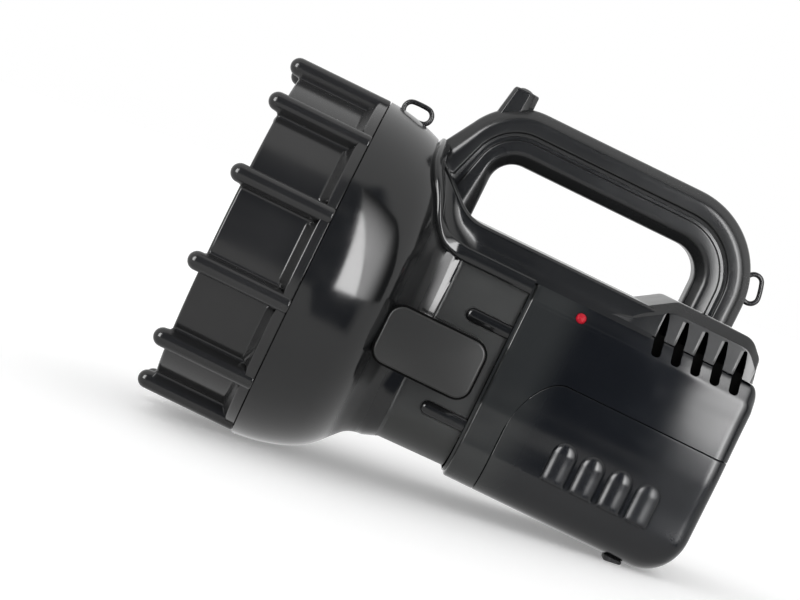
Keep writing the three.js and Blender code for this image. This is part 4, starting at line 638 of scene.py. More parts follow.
def build_ring(sizes, finish):
    """Screw ring: a drum with twelve recessed panels between round bars. The drum's radius follows
    the panel's profile and rises in a hollow fillet to each bar's side."""
    bars, pitch_r, bar_r = 12, HEAD_R - 3.4, sizes.bar_radius / MM
    rim, bore, lip = RING_FRONT, HEAD_R - 11, HEAD_R - 15.8
    panel, land = HEAD_R - 7.4, HEAD_R - 0.8
    climb_x, land_x = -9.6, -5.2
    skirt, corner, edge = 1.4, 3.6, 1.6
    bar_angle = math.radians(10.4) + np.arange(bars) * 2 * math.pi / bars

    side = math.radians(360 / bars) / 2 * panel
    offset = np.concatenate([[0, bar_r - 0.6, bar_r - 0.05],
                             bar_r + skirt * np.array([0, 0.08, 0.2, 0.36, 0.56, 0.78, 1]),
                             spread((bar_r + skirt + 0.4, 6), (bar_r + 5, 7), (side, 1))])
    offset = np.concatenate([-offset[:0:-1], offset])[:-1]
    angle = ((offset / panel)[None] + bar_angle[:, None]).ravel()
    beside = np.tile(np.abs(offset) - bar_r, bars)
    rise, push = quarter(beside, skirt), quarter(beside, corner)

    a = np.linspace(0, math.pi / 2, 7)
    front = np.stack([rim + edge * (1 - np.sin(a)), panel - edge * (1 - np.cos(a))], 1)[::-1]
    slope = rounded([[rim + edge, panel], [climb_x, panel], [land_x, land], [0, land], [0, bore]],
                    [0, 1.6, 1.3, 0.7, 0], 7, closed=False)
    outer = np.concatenate([front, np.linspace([rim + edge, panel], [-14, panel], 8)[1:], slope[7:]])
    x, r = outer[:, :1], outer[:, 1:]
    near = ease(x, -16, climb_x) * (1 - ease(r, land - 1.5, land))
    pushed = x + push * near * 0.9 * (1 - ease(x, land_x, -0.5))
    r = np.maximum(r, np.where((x > rim + 0.8) & (x < land_x), panel + rise, 0))
    thread = np.linspace(rim + 4.4, -0.4, 60)
    inner = np.concatenate([[[rim, panel - edge], [rim, lip + 1.2], [rim + 0.35, lip + 0.35], [rim + 1.2, lip],
                             [rim + 3.0, lip], [rim + 3.4, lip + 0.4], [rim + 3.4, bore]],
                            np.stack([thread, np.full(len(thread), bore)], 1), [[0, bore]]])
    inside = threaded(inner, angle, (rim + 5, rim + 8), (-2.5, -0.8))
    skin = Skin().grid(np.concatenate([around(pushed, r, angle)[::-1], inside]), wrap_columns=True)

    nose = np.linspace(0, math.pi / 2, 10)
    straight = spread((-46.2, 6), (-44.6, 10), (-0.9, 1))
    length = np.concatenate([rim - 6.9 + bar_r * (1 - np.cos(nose)), straight, [-0.5, -0.15, 0]])
    size = np.concatenate([bar_r * np.sin(nose), np.full(len(straight), bar_r),
                           bar_r - np.array([0.08, 0.3, 0.7])])
    size[0] = 0.02
    a = circle(32)[None]
    low = (np.cos(a) < 0) * ease(length, rim - 1.2, rim + 1)[:, None]
    power = 1 - 0.78 * low
    out = pitch_r + squarish(np.cos(a), power) * (size[:, None] + low * skirt)
    across = squarish(np.sin(a), power) * size[:, None]
    for t in bar_angle:
        skin.tube(np.stack([np.broadcast_to(length[:, None], out.shape),
                            out * math.cos(t) - across * math.sin(t),
                            out * math.sin(t) + across * math.cos(t)], -1))
    piece("screw_ring_shell", skin, "screw_ring", finish, ["bezel_ring"], 50)


def build_head(finish):
    """Lamp head and neck: sections that turn from a circle into a rounded square, their sides cut
    flat for the pocket behind the bowl's crisp lip. Inner and outer skins meet at the rims."""
    lip = np.array([(62.6, 0), (63.1, 0.02), (63.45, 0.12), (63.72, 0.32), (63.9, 0.6), (64.0, 1.0)])
    x = np.concatenate([BOWL[:, 0], [59, 60, 61, NECK_OPEN], lip[:, 0], [64.02, 64.2, 64.6, 65.2],
                        np.linspace(NECK_X, NECK_END, 16)])
    clamp = np.full(len(x), np.inf)
    at = len(BOWL) + 4
    clamp[at:at + 6] = head_sizes(x[at:at + 6])[0] - lip[:, 1]
    clamp[at + 6:at + 9] = [46.4, 45.75, 45.55]
    clamp[at + 9:] = POCKET_HALF
    open_row = at - 1
    half, high, power = head_sizes(x)
    top_y = np.minimum(half * (1 - (NECK_TOP / high) ** power) ** (1 / power), clamp)
    top = np.arctan2(NECK_TOP, top_y)
    rest = math.atan2(NECK_TOP, POCKET_HALF)
    top = np.where(x < NECK_OPEN - 0.01, rest + (top[open_row] - rest) * ease(x, 45, NECK_OPEN), top)
    low = math.radians(-43.05)
    up_share = np.linspace(0, 1, 45)
    side_share = np.concatenate([np.linspace(0, 1, 25)[:-1], 1 + np.linspace(0, 1, 21)])

    def columns(share, first):
        """Angles from the first one down to the low corner and on to the floor's middle."""
        upper = first[:, None] + (low - first[:, None]) * np.clip(share, 0, 1)
        lower = (-math.pi / 2 - low) * np.clip(share - 1, 0, 1)
        return upper + lower

    right = columns(side_share, top)
    left = math.pi - right
    lower = np.concatenate([right, left[:, -2::-1] - 2 * math.pi], 1)
    upper = top[:, None] + (math.pi - 2 * top[:, None]) * up_share

    def shells(angle, rows):
        """Outer and inner points; both keep below the saddle, and under its ledge the outer corners
        are drawn in behind its walls."""
        outer = head_points(x[rows, None], angle[rows], 0, clamp[rows, None])
        outer[..., 2] = np.where(np.abs(outer[..., 2] - NECK_TOP) < 1e-3, NECK_TOP, outer[..., 2])
        roof = np.where(x[rows, None] > CREST[0] + 0.5, ramp_height(x[rows, None]) - 0.9, np.inf)
        inside = head_points(x[rows, None], angle[rows], -WALL, clamp[rows, None] - WALL)
        inside[..., 0] = np.maximum(inside[..., 0], GAP + WALL)
        outer[..., 2] = np.minimum(outer[..., 2], roof)
        slack = 44.4 - 0.31 * (outer[..., 2] - LEDGE).clip(0, None)
        under = ease(x[rows, None], 50, 57) * ease(outer[..., 2], 38, 42) * (np.abs(outer[..., 1]) > slack)
        outer[..., 1] += (np.sign(outer[..., 1]) * slack - outer[..., 1]) * under
        inside[..., 2] = np.minimum(inside[..., 2], roof - WALL)
        return outer, inside

    skin = Skin()
    every, front = slice(0, len(x)), slice(0, open_row + 1)
    out_low, in_low = shells(lower, every)
    out_up, in_up = shells(upper, front)
    in_low[open_row:, :, 2] = np.minimum(in_low[open_row:, :, 2], NECK_TOP)
    in_low[open_row:, [0, -1], 2] = NECK_TOP
    in_up[:, 0], in_up[:, -1] = in_low[:open_row + 1, 0], in_low[:open_row + 1, -1]
    for outer, inside in ((out_low, in_low), (out_up, in_up)):
        skin.grid(outer).grid(inside)
    skin.strip(out_low[-1], in_low[-1]).strip(out_up[-1], in_up[-1])
    for column in (0, -1):
        skin.strip(out_low[open_row:, column], in_low[open_row:, column])
    bore = STACK_R - WALL
    ridge = np.linspace(MOUTH_X + 0.8, -0.4, 70)
    profile = np.concatenate([[[GAP + WALL, bore], [MOUTH_X, bore], [MOUTH_X, STACK_R - 0.8]],
                              np.stack([ridge, np.full(len(ridge), STACK_R)], 1), [[GAP, STACK_R]]])
    for angle, outer, inside in ((lower[0], out_low[0], in_low[0]), (upper[0], out_up[0], in_up[0])):
        tube = threaded(profile, angle, (MOUTH_X + 2, MOUTH_X + 4), (-2.4, -0.8), 0.1)
        skin.grid(np.concatenate([inside[None], tube, outer[None]]))

    rim = PLATE_FACE - PLATE_THICK
    seat = [(44.0, -1.2), (46.0, -0.5), (48.5, -0.1), (rim - 1.6, 0.0), (rim - 0.8, 0.1), (rim - 0.35, 0.5)]
    bar = [(44, 0), (45.6, 0.03), (46.3, 0.18), (46.9, 0.5), (47.4, 1.0), (47.8, 1.7), (48, 2.4), (48.05, 3.0)]
    bar_half, bar_start, bar_end = 3.6, 77, 110
    for side in (-1, 1):
        skin.tube(plate(rectangle(*PLATE), seat, on_side(side)))
        for middle in (15.9, -34.0):
            outline = rectangle(bar_start, bar_end, middle - bar_half, middle + bar_half, bar_half - 0.01, 10)
            rings = plate(outline, bar, on_side(side))
            rings[..., 0] = np.minimum(rings[..., 0], NECK_END)
            skin.tube(rings)

    ground = 0.00002
    for part, points in enumerate(skin.points):
        row = to_row(points)
        row[:, 2] = np.maximum(row[:, 2], ground)
        skin.points[part] = to_lamp(row)
    piece("lamp_head", skin, "lamp_body", finish, ["head_shell"], 32)


def build_plates(finish):
    """Blank plates on both sides of the neck: rounded rectangles with a soft edge over a near-black sheet,
    painted shadow in the gap.
    """
    rim, face = PLATE_FACE - PLATE_THICK, PLATE_FACE
    soft = [(rim, 0.25), (rim + 0.05, 0.1), (face - 1.0, 0.0), (face - 0.6, 0.1), (face - 0.25, 0.35),
            (face - 0.05, 0.7), (face, 1.1)]
    under = [(rim - 1.4, -0.1), (rim - 1.2, -0.95), (face - 0.95, -0.95), (face - 0.8, -0.7),
             (face - 0.75, 0.2)]
    for side, word in ((-1, "left"), (1, "right")):
        gap, skin = (Skin().tube(plate(rectangle(*PLATE), levels, on_side(side))) for levels in (under, soft))
        # painted shadow: a near-black sheet under the plate's edge
        piece("plate_gap_" + word, gap, "lamp_body", FINISHES["dark"], [], 60)
        piece("blank_plate_" + word, skin, "lamp_body", finish, ["name_pad_" + word], 60)


# ---------------------------------------------------------------- saddle and handle

def head_angle(x, z):
    """Angle at which the head's near surface has the height z, found on a table of angles."""
    angle = np.linspace(0, math.pi / 2, 600)
    heights = head_points(np.asarray(x, float)[:, None], angle[None])[..., 2]
    return np.array([np.interp(h, row, angle) for h, row in zip(z, heights)])


def eased(line, rounds=12):
    """Line with its kinks smoothed out; both ends stay."""
    line = np.array(line, float)
    for _ in range(rounds):
        line[1:-1] = (line[:-2] + 2 * line[1:-1] + line[2:]) / 4
    return line


def build_saddle(finish):
    """Saddle under the handle: a round band that lies on the bowl along the lip's curve and over
    the crown, hollow walls from it up to the ramp's edge, and the deck behind."""
    curve = np.stack([CREST[0] + LIP_SHARES[:, 0] * (DECK_X - CREST[0]),
                      LIP + LIP_SHARES[:, 1] * (CREST[1] - LIP)], 1)
    curve = eased(resampled(curve, 60), 16)
    angle = head_angle(curve[:, 0], curve[:, 1])
    crown = np.linspace(angle[-1], math.pi / 2, 24)[1:]
    x = np.concatenate([curve[:, 0], np.full(len(crown), curve[-1, 0])])
    angle = math.pi - np.concatenate([angle, crown])
    path = head_points(x, angle)
    normal = head_normals(x, angle)
    inward = np.cross(unit(np.gradient(path, axis=0)), normal)
    wide, narrow, count = 3.8, 3.1, 20
    level = np.array([-48.4, LIP + wide - 0.3])
    half = narrow + (wide - narrow) * ease(path[:, 0], 44, 60)[:, None]
    rear = np.linspace([NECK_END, *level], [DECK_X + 1.5, *level], count)
    behind = ease(path[:, 0], 56, 65)[:, None]
    near = path + inward * half
    near[:, 1:] += (level - near[:, 1:]) * behind
    out = unit(normal * (1 - behind) + np.array([0, -1, 0]) * behind)
    rows = np.concatenate([np.concatenate([rear, near]),
                           np.concatenate([np.broadcast_to([0.0, -1.0, 0.0], rear.shape), out]),
                           np.concatenate([np.full((count, 1), wide), half])], 1)
    rows = eased(resampled(rows, 150), 6)
    rows = np.concatenate([rows, (rows * [*MIRROR, *MIRROR, 1])[-2::-1]])
    a, power = circle(24), 0.6
    side = squarish(np.cos(a), power)[None] * rows[:, 6:]
    high = np.broadcast_to(0.6 + 2.5 * squarish(np.sin(a), power), side.shape)
    skin = Skin().tube(swept(rows[:, :3], np.stack([side, high], -1), unit(rows[:, 3:6])))

    lip = slice(0, len(curve))
    level = np.array([-46.2, LEDGE - 0.2])
    foot = path[lip] + inward[lip] * (2 * half[lip] - 1.3) + normal[lip] * 0.8
    foot[:, 1:] += (level - foot[:, 1:]) * behind[lip]
    foot = np.concatenate([np.linspace([88, *level], foot[0] + [1.5, 0, 0], 30), foot])
    foot = eased(resampled(foot, 110), 90)
    edge_x = np.linspace(foot[0, 0], CREST[0] + 0.8, 400)
    edge_y = np.interp(edge_x, [30, 34, 38, 45, 52, 60], [24.5, 29, 32.5, 37, 40.5, 42])
    edge = np.stack([edge_x, -edge_y, ramp_height(edge_x)], 1)
    edge = eased(resampled(edge, 110), 40)
    deep = foot * [1, 0.86, 1] - [0, 0, 5]
    across = np.linspace(0, 1, 13)[:-1]
    hollow = (np.sin(across * math.pi) * 1.1)[None, :, None]
    wall = foot[:, None] + (edge - foot)[:, None] * across[None, :, None] + hollow * np.array([0, 1, -0.3])
    r = 1.8
    bend = np.linspace(0, math.pi / 2, 8)[None, :, None]
    corner = edge[:, None] - unit(edge - foot)[:, None] * r * (1 - np.sin(bend))
    corner = corner + np.array([0.0, 1.0, 0.0]) * r * (1 - np.cos(bend))
    share = np.linspace(1, 0, 13)[1:]
    flat_y = corner[:, -1:, 1] * share
    crown = 5.0 * (1 - ease(edge[:, 0], 30, 58))[:, None]
    top = np.stack([np.broadcast_to(edge[:, :1], flat_y.shape), flat_y,
                    edge[:, 2:] + crown * (1 - share ** 2)], -1)
    half_row = np.concatenate([deep[:, None], wall, corner, top], 1)
    back = np.linspace(VENTS_FROM - foot[0, 0], 0, 24)[:-1, None, None]
    half_row = np.concatenate([half_row[:1] + np.array([1.0, 0, 0]) * back, half_row])
    skin.tube(both(half_row))
    piece("handle_saddle", skin, "lamp_body", finish, ["saddle"], 40)


# The handle's loop: its grip, the radii of its bends, their centres along the axis, the slope of
# the front leg, and the top of the block under the rear leg.
GRIP_TOP, GRIP_THICK, REAR_R, FRONT_R = 119.3, 28.4, 43.3, 36.0
FRONT_X, REAR_X, FRONT_ANGLE, LEG_X = 72.8, 158.0, math.radians(28), 60.1
PEDESTAL_TOP = 64.7


def handle_stations():
    """Outer and inner edges [x, z] of the handle's side outline, station by station: front leg,
    front bend, grip, rear bend and rear leg."""
    front_z, low_z = GRIP_TOP - FRONT_R, GRIP_TOP - GRIP_THICK
    bend_z, front_in, rear_in = GRIP_TOP - REAR_R, FRONT_X - LEG_X, REAR_R - GRIP_THICK
    t = np.linspace(-0.3, 1, 15)[:-1, None]
    slope = np.array([61, 59.5]) - CREST
    up = unit(np.array([-slope[1], slope[0]])) * 0.3
    start = np.array([FRONT_X - FRONT_R * math.cos(FRONT_ANGLE), front_z + FRONT_R * math.sin(FRONT_ANGLE)])
    root_in = np.array([LEG_X, CREST[1] + slope[1] / slope[0] * (LEG_X - CREST[0])])
    leg = (CREST + up + (start - CREST - up) * t,
           root_in + (np.array([LEG_X, low_z - front_in]) - root_in) * t)
    t = np.linspace(0, 1, 22)
    a = math.pi - FRONT_ANGLE - (math.pi / 2 - FRONT_ANGLE) * t
    b = math.pi - math.pi / 2 * t
    front = (np.stack([FRONT_X + FRONT_R * np.cos(a), front_z + FRONT_R * np.sin(a)], 1),
             np.stack([FRONT_X + front_in * np.cos(b), low_z - front_in + front_in * np.sin(b)], 1))
    x = np.linspace(FRONT_X, REAR_X, 14)[1:-1]
    grip = (np.stack([x, np.full(12, GRIP_TOP)], 1), np.stack([x, np.full(12, low_z)], 1))
    a = math.pi / 2 * (1 - np.linspace(0, 1, 26))
    turn = np.stack([np.cos(a), np.sin(a)], 1)
    rear = ([REAR_X, bend_z] + REAR_R * turn, [REAR_X, bend_z] + rear_in * turn)
    z = np.linspace(bend_z, PEDESTAL_TOP + 0.3, 5)[1:]
    end = (np.stack([np.full(4, REAR_X + REAR_R), z], 1), np.stack([np.full(4, REAR_X + rear_in), z], 1))
    return [np.concatenate(parts) for parts in zip(leg, front, grip, rear, end)]


def build_handle(finish):
    """Handle in two mouldings with a dark groove between them: the sections of both lobes are
    carried along the stations, squeezed to the distance between the outer and inner edges."""
    outer, inner = handle_stations()
    half = np.linalg.norm(outer - inner, axis=1) / 2
    middle, across = (outer + inner) / 2, unit(outer - inner)
    deep = 14.2
    lobe = [[0.1, 11.3], [1.7, 11.5], [1.75, 13.4], [9, 13.5], [deep, 7.2],
            [deep, -7.2], [9, -13.5], [1.75, -13.4], [1.7, -11.5], [0.1, -11.3]]
    under = [[-0.1, 11.3], [-1.7, 11.5], [-1.75, 12.9], [-8.6, 13.2], [-deep, 8.2],
             [-deep, -8.2], [-8.6, -13.2], [-1.75, -12.9], [-1.7, -11.5], [-0.1, -11.3]]
    for name, node, corners, radii in (
            ("handle_upper_half", "handle_outer", lobe, [0, 0.3, 1.3, 5.5, 5, 5, 5.5, 1.3, 0.3, 0]),
            ("handle_lower_half", "handle_inner", under, [0, 0.3, 1.2, 4.6, 4.2, 4.2, 4.6, 1.2, 0.3, 0])):
        section = rounded(corners, radii, 7)
        n = section[None, :, 0] * (half / deep)[:, None]
        skin = Skin().tube(np.stack([middle[:, :1] + across[:, :1] * n,
                                     np.broadcast_to(section[None, :, 1], n.shape),
                                     middle[:, 1:] + across[:, 1:] * n], -1))
        piece(name, skin, "lamp_body", finish, [node], 44)


def build_switch(finish):
    """Switch block on the grip's front end, with chamfered upright corners and a leaning front,
    and a domed button in its well."""
    top, half, edge = GRIP_TOP + 6.2, 9.0, 2.6
    front_x, front_z, length, well_x, fall = 49, GRIP_TOP - 9.8, 16, 58.5, 3.0
    lean = fall / (top - front_z)
    plan = [[0, half - edge], [edge * 0.7, half], [9.9, half], [13.3, half - 1.75], [length, half - 4.8]]
    plan = plan + [[x, -y] for x, y in plan[::-1]]
    plan = rounded(plan, 0.7, 5)
    z = np.array([93.0, 104, 110, 116, 121, top - 1.1, top - 0.55, top - 0.2, top])
    inset = np.array([0, 0, 0, 0, 0, 0, 0.14, 0.45, 1.0])
    shrink = 1 - inset[:, None] / 8
    mid = plan.mean(0)
    x = mid[0] + (plan[None, :, 0] - mid[0]) * shrink
    x = x + front_x + (z[:, None] - front_z) * lean * (1 - x / length)
    y = plan[None, :, 1] * shrink
    skin = Skin().tube(np.stack([x, y, np.broadcast_to(z[:, None], x.shape)], -1))
    block = piece("switch_block", skin, "lamp_body", finish, ["switch_turret"], 40)
    tilt = math.atan2(fall, top - front_z) / 2
    down = np.array([-math.sin(tilt), 0, -math.cos(tilt)])
    base = np.array([well_x, 0, top])
    well = Skin().tube(turned([[-4, 5.6], [-0.01, 5.6], [0.35, 5.15], [0.7, 5.0], [8.5, 5.0]], 48, base, down))
    carve(block, well)
    shade(block, 40)
    button = [[-1.15, 0.01], [-1.12, 0.9], [-0.95, 2.0], [-0.55, 3.1], [0.0, 3.9], [0.45, 4.25], [0.9, 4.4],
              [3.2, 4.4], [3.4, 4.2], [3.4, 0.01]]
    piece("push_button_cap", Skin().tube(turned(button, 48, base, down)), "push_button", finish,
          ["switch_button"], 50)


# ---------------------------------------------------------------- battery box

# The box's ends, heights and half widths, the seam's height at the rear and at the cover's front
# corner, where the cover starts, the socket's height, the samples round a half section, and the
# place where the seam turns level.
BOX_FRONT, BOX_REAR, BOX_TOP, BOX_BOTTOM = 100.8, 223.0, 44.6, -61.5
BOX_HALF, BOX_TOP_HALF, BOX_SHOULDER, BOX_CORNER = 50.0, 45.5, 34.9, 19.5
SEAM_Z, CORNER_Z, COVER_X, SOCKET_Z = 4.7, -27.0, 118.0, 21.0
SAMPLES, LEVEL_X = 260, 137.0


def box_section(x, inset):
    """Half sections of the box from the roof's middle down the near side to the floor's middle,
    as (rows, samples, 2) of [y, z]. Near the rear the floor and the roof draw in along arcs; the
    sides lean in along a soft bend, the logarithm of one plus an exponential of the place."""
    line = rounded([[0, BOX_TOP], [BOX_TOP_HALF, BOX_TOP], [BOX_HALF, BOX_SHOULDER],
                    [BOX_HALF + 0.9, -3.5], [BOX_HALF, BOX_BOTTOM], [0, BOX_BOTTOM]],
                   [0, 2.2, 2.4, 160, BOX_CORNER, 0], 18, closed=False)
    line = resampled(line, SAMPLES)
    slope = unit(np.gradient(line, axis=0))
    line = line - inset * np.stack([-slope[:, 1], slope[:, 0]], 1)
    line[0, 0] = line[-1, 0] = 0
    x = np.asarray(x, float)[:, None]
    rear = BOX_REAR - inset
    side_r, floor_r = 7.0 - inset * 0.6, BOX_CORNER - inset
    draw_side = quarter(rear - x, side_r)
    bend = 6.0
    draw_side = draw_side + 0.056 * bend * np.log1p(np.exp((x - 188) / bend)) * ease(line[None, :, 1], -10, 24)
    draw_floor = quarter(rear - x, floor_r)
    draw_roof = 12.6 * (1 - np.sqrt(1 - np.clip((x - (rear - 6.5)) / 6.5, 0, 1) ** 2))
    y, z = line[None, :, 0], line[None, :, 1]
    scale = (BOX_HALF - inset - draw_side) / (BOX_HALF - inset)
    y = y * scale
    floor = BOX_BOTTOM + inset
    lift = draw_floor * np.clip(z / floor, 0, 1) ** 3
    z = z + lift - draw_roof * np.clip((z - 20) / (BOX_TOP - inset - 20), 0, 1) ** 2
    return np.stack([y, z], -1)


def seam_height(x):
    """Height of the cover's edge: level at the rear, then a cubic curve down to the front corner."""
    x = np.asarray(x, float)
    t = np.linspace(0, 1, 200)
    p = np.array([[LEVEL_X, SEAM_Z], [127.5, SEAM_Z], [COVER_X, (SEAM_Z + CORNER_Z) / 2], [COVER_X, CORNER_Z]])
    curve = ((1 - t) ** 3)[:, None] * p[0] + (3 * t * (1 - t) ** 2)[:, None] * p[1] \
        + (3 * t ** 2 * (1 - t))[:, None] * p[2] + (t ** 3)[:, None] * p[3]
    return np.interp(x, curve[::-1, 0], curve[::-1, 1])


def at_height(sections, z):
    """Sample numbers at which each row's section has a given height on the box's side."""
    usable = np.arange(40, 230)
    return np.array([np.interp(-h, -row[usable, 1], usable) for h, row in zip(z, sections)])


def take(sections, number):
    """Points of sections at fractional sample numbers, with the rows kept."""
    low = np.clip(np.floor(number).astype(int), 0, sections.shape[1] - 2)
    t = (number - low)[..., None]
    first = np.take_along_axis(sections, low[..., None].repeat(2, -1), 1)
    second = np.take_along_axis(sections, (low + 1)[..., None].repeat(2, -1), 1)
    return first + (second - first) * t


def near_side(x, points):
    """Section points [y, z] placed along the axis on the near side."""
    return np.stack([np.broadcast_to(x[:, None], points.shape[:2]), -points[..., 0], points[..., 1]], -1)


def box_shell(x, start, stop, columns, inset):
    """Near side of the box between two sample numbers in each row."""
    return near_side(x, take(box_section(x, inset), start[:, None] + (stop - start)[:, None] * columns[None]))


def build_box(finish, led_finish):
    """Battery box: sections are carried along the axis; below the seam they close only in front of
    the cover, and a flat rear face joins the two sides."""
    slit, middle = 0.45, SAMPLES - 1.0
    rear_x = spread((212.5, 3), (216, 4), (219, 4), (221.5, 4), (222.6, 3), (BOX_REAR, 1))
    front_x = np.array([BOX_FRONT, 101.9, 102.0, 102.2, 102.5, 102.9, 103.4, 106, 110, 114,
                        COVER_X - slit - 0.3, COVER_X - slit])
    lead = len(front_x)
    x = np.concatenate([front_x, spread((118.6, 20), (LEVEL_X, 20), (212.5, 1))[:-1], rear_x])
    tight = 1 - np.array([1.5, 1.5, 1.1, 0.65, 0.3, 0.08, 0, 0, 0, 0, 0, 0])[:, None, None] / BOX_HALF
    z = np.where(x < COVER_X, CORNER_Z + slit, seam_height(x) + slit)
    fixed, above = 86.0, 56
    columns = np.concatenate([np.linspace(0, 0.9, 14), [0.95, 0.98, 0.995, 1]])

    def upper_side(inset):
        """Near side from the roof's middle to the seam, with even samples down to a fixed one."""
        inside = np.minimum(x, BOX_REAR - inset)
        sections = box_section(inside, inset)
        stop = at_height(sections, z)
        even = np.broadcast_to(np.linspace(0, fixed, above)[:-1], (len(stop), above - 1))
        number = np.concatenate([even, fixed + (stop[:, None] - fixed) * columns], 1)
        return near_side(inside, take(sections, number))

    outer, inner = upper_side(0), upper_side(WALL)
    outer[:lead, :, 1:] *= tight
    skin = Skin()
    for shell in (outer, inner):
        skin.grid(shell).grid(shell * MIRROR).strip(shell[-1], shell[-1] * MIRROR)
    below = []
    for inset, upper in ((0, outer), (WALL, inner)):
        stop = at_height(box_section(front_x, inset), z[:lead])
        shell = box_shell(front_x, stop, np.full(lead, middle), np.linspace(0, 1, 40), inset)
        if inset == 0:
            shell[..., 1:] *= tight
        shell[:, 0] = upper[:lead, -1]
        below.append(shell)
        skin.grid(shell).grid(shell * MIRROR)
    for mirror in (1, MIRROR):
        for first, second in ((outer[lead - 1:, -1], inner[lead - 1:, -1]), (below[0][-1], below[1][-1]),
                              (outer[0], inner[0]), (below[0][0], below[1][0])):
            skin.strip(first * mirror, second * mirror)
    rim = np.stack([outer[-1, -1], inner[-1, -1]])
    skin.strip(rim, rim * MIRROR)
    housing = piece("battery_box", skin, "lamp_body", finish, ["rear_housing"], 34)

    slot = rounded([[-0.6, 46.5], [1.2, 36.2], [6.3, 36.2], [5.4, 41.0], [5.0, 46.5]], [0, 1.9, 1.9, 2, 0], 6)
    # the vents' cut faces take the near-black finish: painted shade
    carve(housing, vent_cutters(slot, 38, 53), finish=FINISHES["dark"])
    recess = rectangle(-9.1, 9.1, 12.2, 33.3, 1.2, 4)
    hole = Skin().tube(turned([[-3, 6.1], [12, 6.1]], 40, (216, 0, SOCKET_Z)))
    carve(housing, Skin().tube(plate(recess, [(219.9, 0), (226, 0)], on_rear)))
    slope = unit([0, -(BOX_TOP - BOX_SHOULDER), BOX_HALF - BOX_TOP_HALF])
    seat = np.array([128, -BOX_HALF + 0.25 * (BOX_HALF - BOX_TOP_HALF),
                     BOX_SHOULDER + 0.25 * (BOX_TOP - BOX_SHOULDER)])
    carve(housing, Skin().tube(turned([[-5, 2.75], [-0.3, 2.75], [3, 3.3]], 32, seat, slope)))
    carve(housing, hole)
    shade(housing, 34)

    # Near-black sheets behind the vents and inside the seam's slit: painted shade.
    painted_shade, panel = Skin(), rectangle(VENTS_FROM, 212, 33, 47, 1, 3)
    for side in (-1, 1):
        painted_shade.tube(plate(panel, [(40.2, 0), (41.2, 0)], on_side(side)))
    behind = spread((119.2, 16), (LEVEL_X, 20), (221, 1))
    sheets = []
    for inset in (0.9, 2.0):
        start, stop = (at_height(box_section(behind, inset), seam_height(behind) + rise) for rise in (2, -1.4))
        sheets.append(box_shell(behind, start, stop, np.linspace(0, 1, 5), inset))
    for mirror in (1, MIRROR):
        painted_shade.tube(np.concatenate([sheets[0], sheets[1][:, ::-1]], 1) * mirror)
    piece("seam_lining", painted_shade, "lamp_body", FINISHES["dark"], [], 34)
    dome = [[-6, 2.45], [0.1, 2.5], [0.6, 2.4], [1.1, 2.05], [1.45, 1.45], [1.58, 0.7], [1.6, 0.01]]
    piece("charge_lamp", Skin().tube(turned(dome, 32, seat, slope)), "lamp_body", led_finish,
          ["indicator_led"], 60)
    floor = Skin().tube(plate(recess, [(217.6, 0), (219.7, 0)], on_rear))
    carve(piece("cap_recess", floor, "lamp_body", finish, [], 34), hole)


def build_cover(sizes, finish):
    """Battery cover: the same sections below the seam, with four domed grip ribs on each side and
    a shallow step below them."""
    rear_x = spread((204, 8), (216, 4), (219, 4), (221.5, 4), (222.6, 3), (BOX_REAR, 1))
    x = np.concatenate([COVER_X + np.array([0, 0.05, 0.2, 0.5]),
                        spread((119.2, 26), (LEVEL_X, 20), (204, 1))[:-1], rear_x])
    z = seam_height(x)
    tight = 1 - np.array([0.5, 0.3, 0.12, 0.0])[:, None, None] / BOX_HALF
    columns = np.concatenate([[0, 0.0006, 0.002, 0.0045, 0.008], np.linspace(0.015, 1, 74)])
    middle = np.full(len(x), SAMPLES - 1.0)
    outer, inner = [box_shell(inside, at_height(box_section(inside, inset), z), middle, columns, inset)
                    for inset, inside in ((0, x), (WALL, np.minimum(x, BOX_REAR - WALL)))]
    outer[:, :5, 1] += [0.55, 0.32, 0.14, 0.03, 0]
    outer[:4, :, 1:] *= tight
    step = 0.5 * ease(outer[..., 2], -42.2, -43.0) * (1 - ease(outer[..., 2], -52, -58))
    outer[..., 1] += 0.35 * step * (outer[..., 1] < -45)
    skin = Skin()
    for shell in (outer, inner):
        skin.grid(both(shell)).strip(shell[-1], shell[-1] * MIRROR)
    for mirror in (1, MIRROR):
        skin.strip(outer[:, 0] * mirror, inner[:, 0] * mirror).strip(outer[0] * mirror, inner[0] * mirror)
    rim = np.stack([outer[-1, 0], inner[-1, 0]])
    skin.strip(rim, rim * MIRROR)

    proud = sizes.rib_height / MM
    round_r, top, low, foot_y = 6.5, -19.3, -40.8, 48.6
    dome = (round_r ** 2 + proud ** 2) / (2 * proud)
    crown = top - round_r
    levels = np.concatenate([[low, low + 0.05, low + 0.4, low + 1.0], np.linspace(low + 1.6, crown, 10),
                             crown + round_r * np.sin(np.linspace(0, math.pi / 2, 14)[1:])])
    shape = np.ones((len(levels), 1))
    shape[:4, 0] = [0.0, 0.45, 0.8, 0.97]
    over = np.maximum(levels - crown, 0)[:, None]
    across = np.sqrt(np.maximum(round_r ** 2 - over ** 2, 0)) * np.sin(np.linspace(-1, 1, 25) * math.pi / 2)
    high = np.maximum(np.sqrt(dome ** 2 - across ** 2 - over ** 2) - (dome - proud), 0)
    high = high ** 0.8 * proud ** 0.2 * shape
    base = 50.2 + 0.35 * (1 - ((levels[:, None] + 18) / 40) ** 2)
    z = np.broadcast_to(levels[:, None], across.shape)
    for at in 150 + 14.9 * np.arange(4):
        for side in (-1, 1):
            face = np.stack([at + across, side * (base + high), z], -1)
            back = np.stack([at + across, np.full(across.shape, side * foot_y), z], -1)
            skin.grid(np.concatenate([face, back[::-1]]), wrap_rows=True)
            skin.strip(face[:, 0], back[:, 0]).strip(face[:, -1], back[:, -1])
    piece("box_cover", skin, "battery_door", finish, ["battery_cover"], 34)


# Number of the vents, the first one's place and their pitch; the hidden saddle ends before them.
VENTS, VENT_X, VENT_PITCH, VENTS_FROM = 5, 164.4, 10.45, 162.5


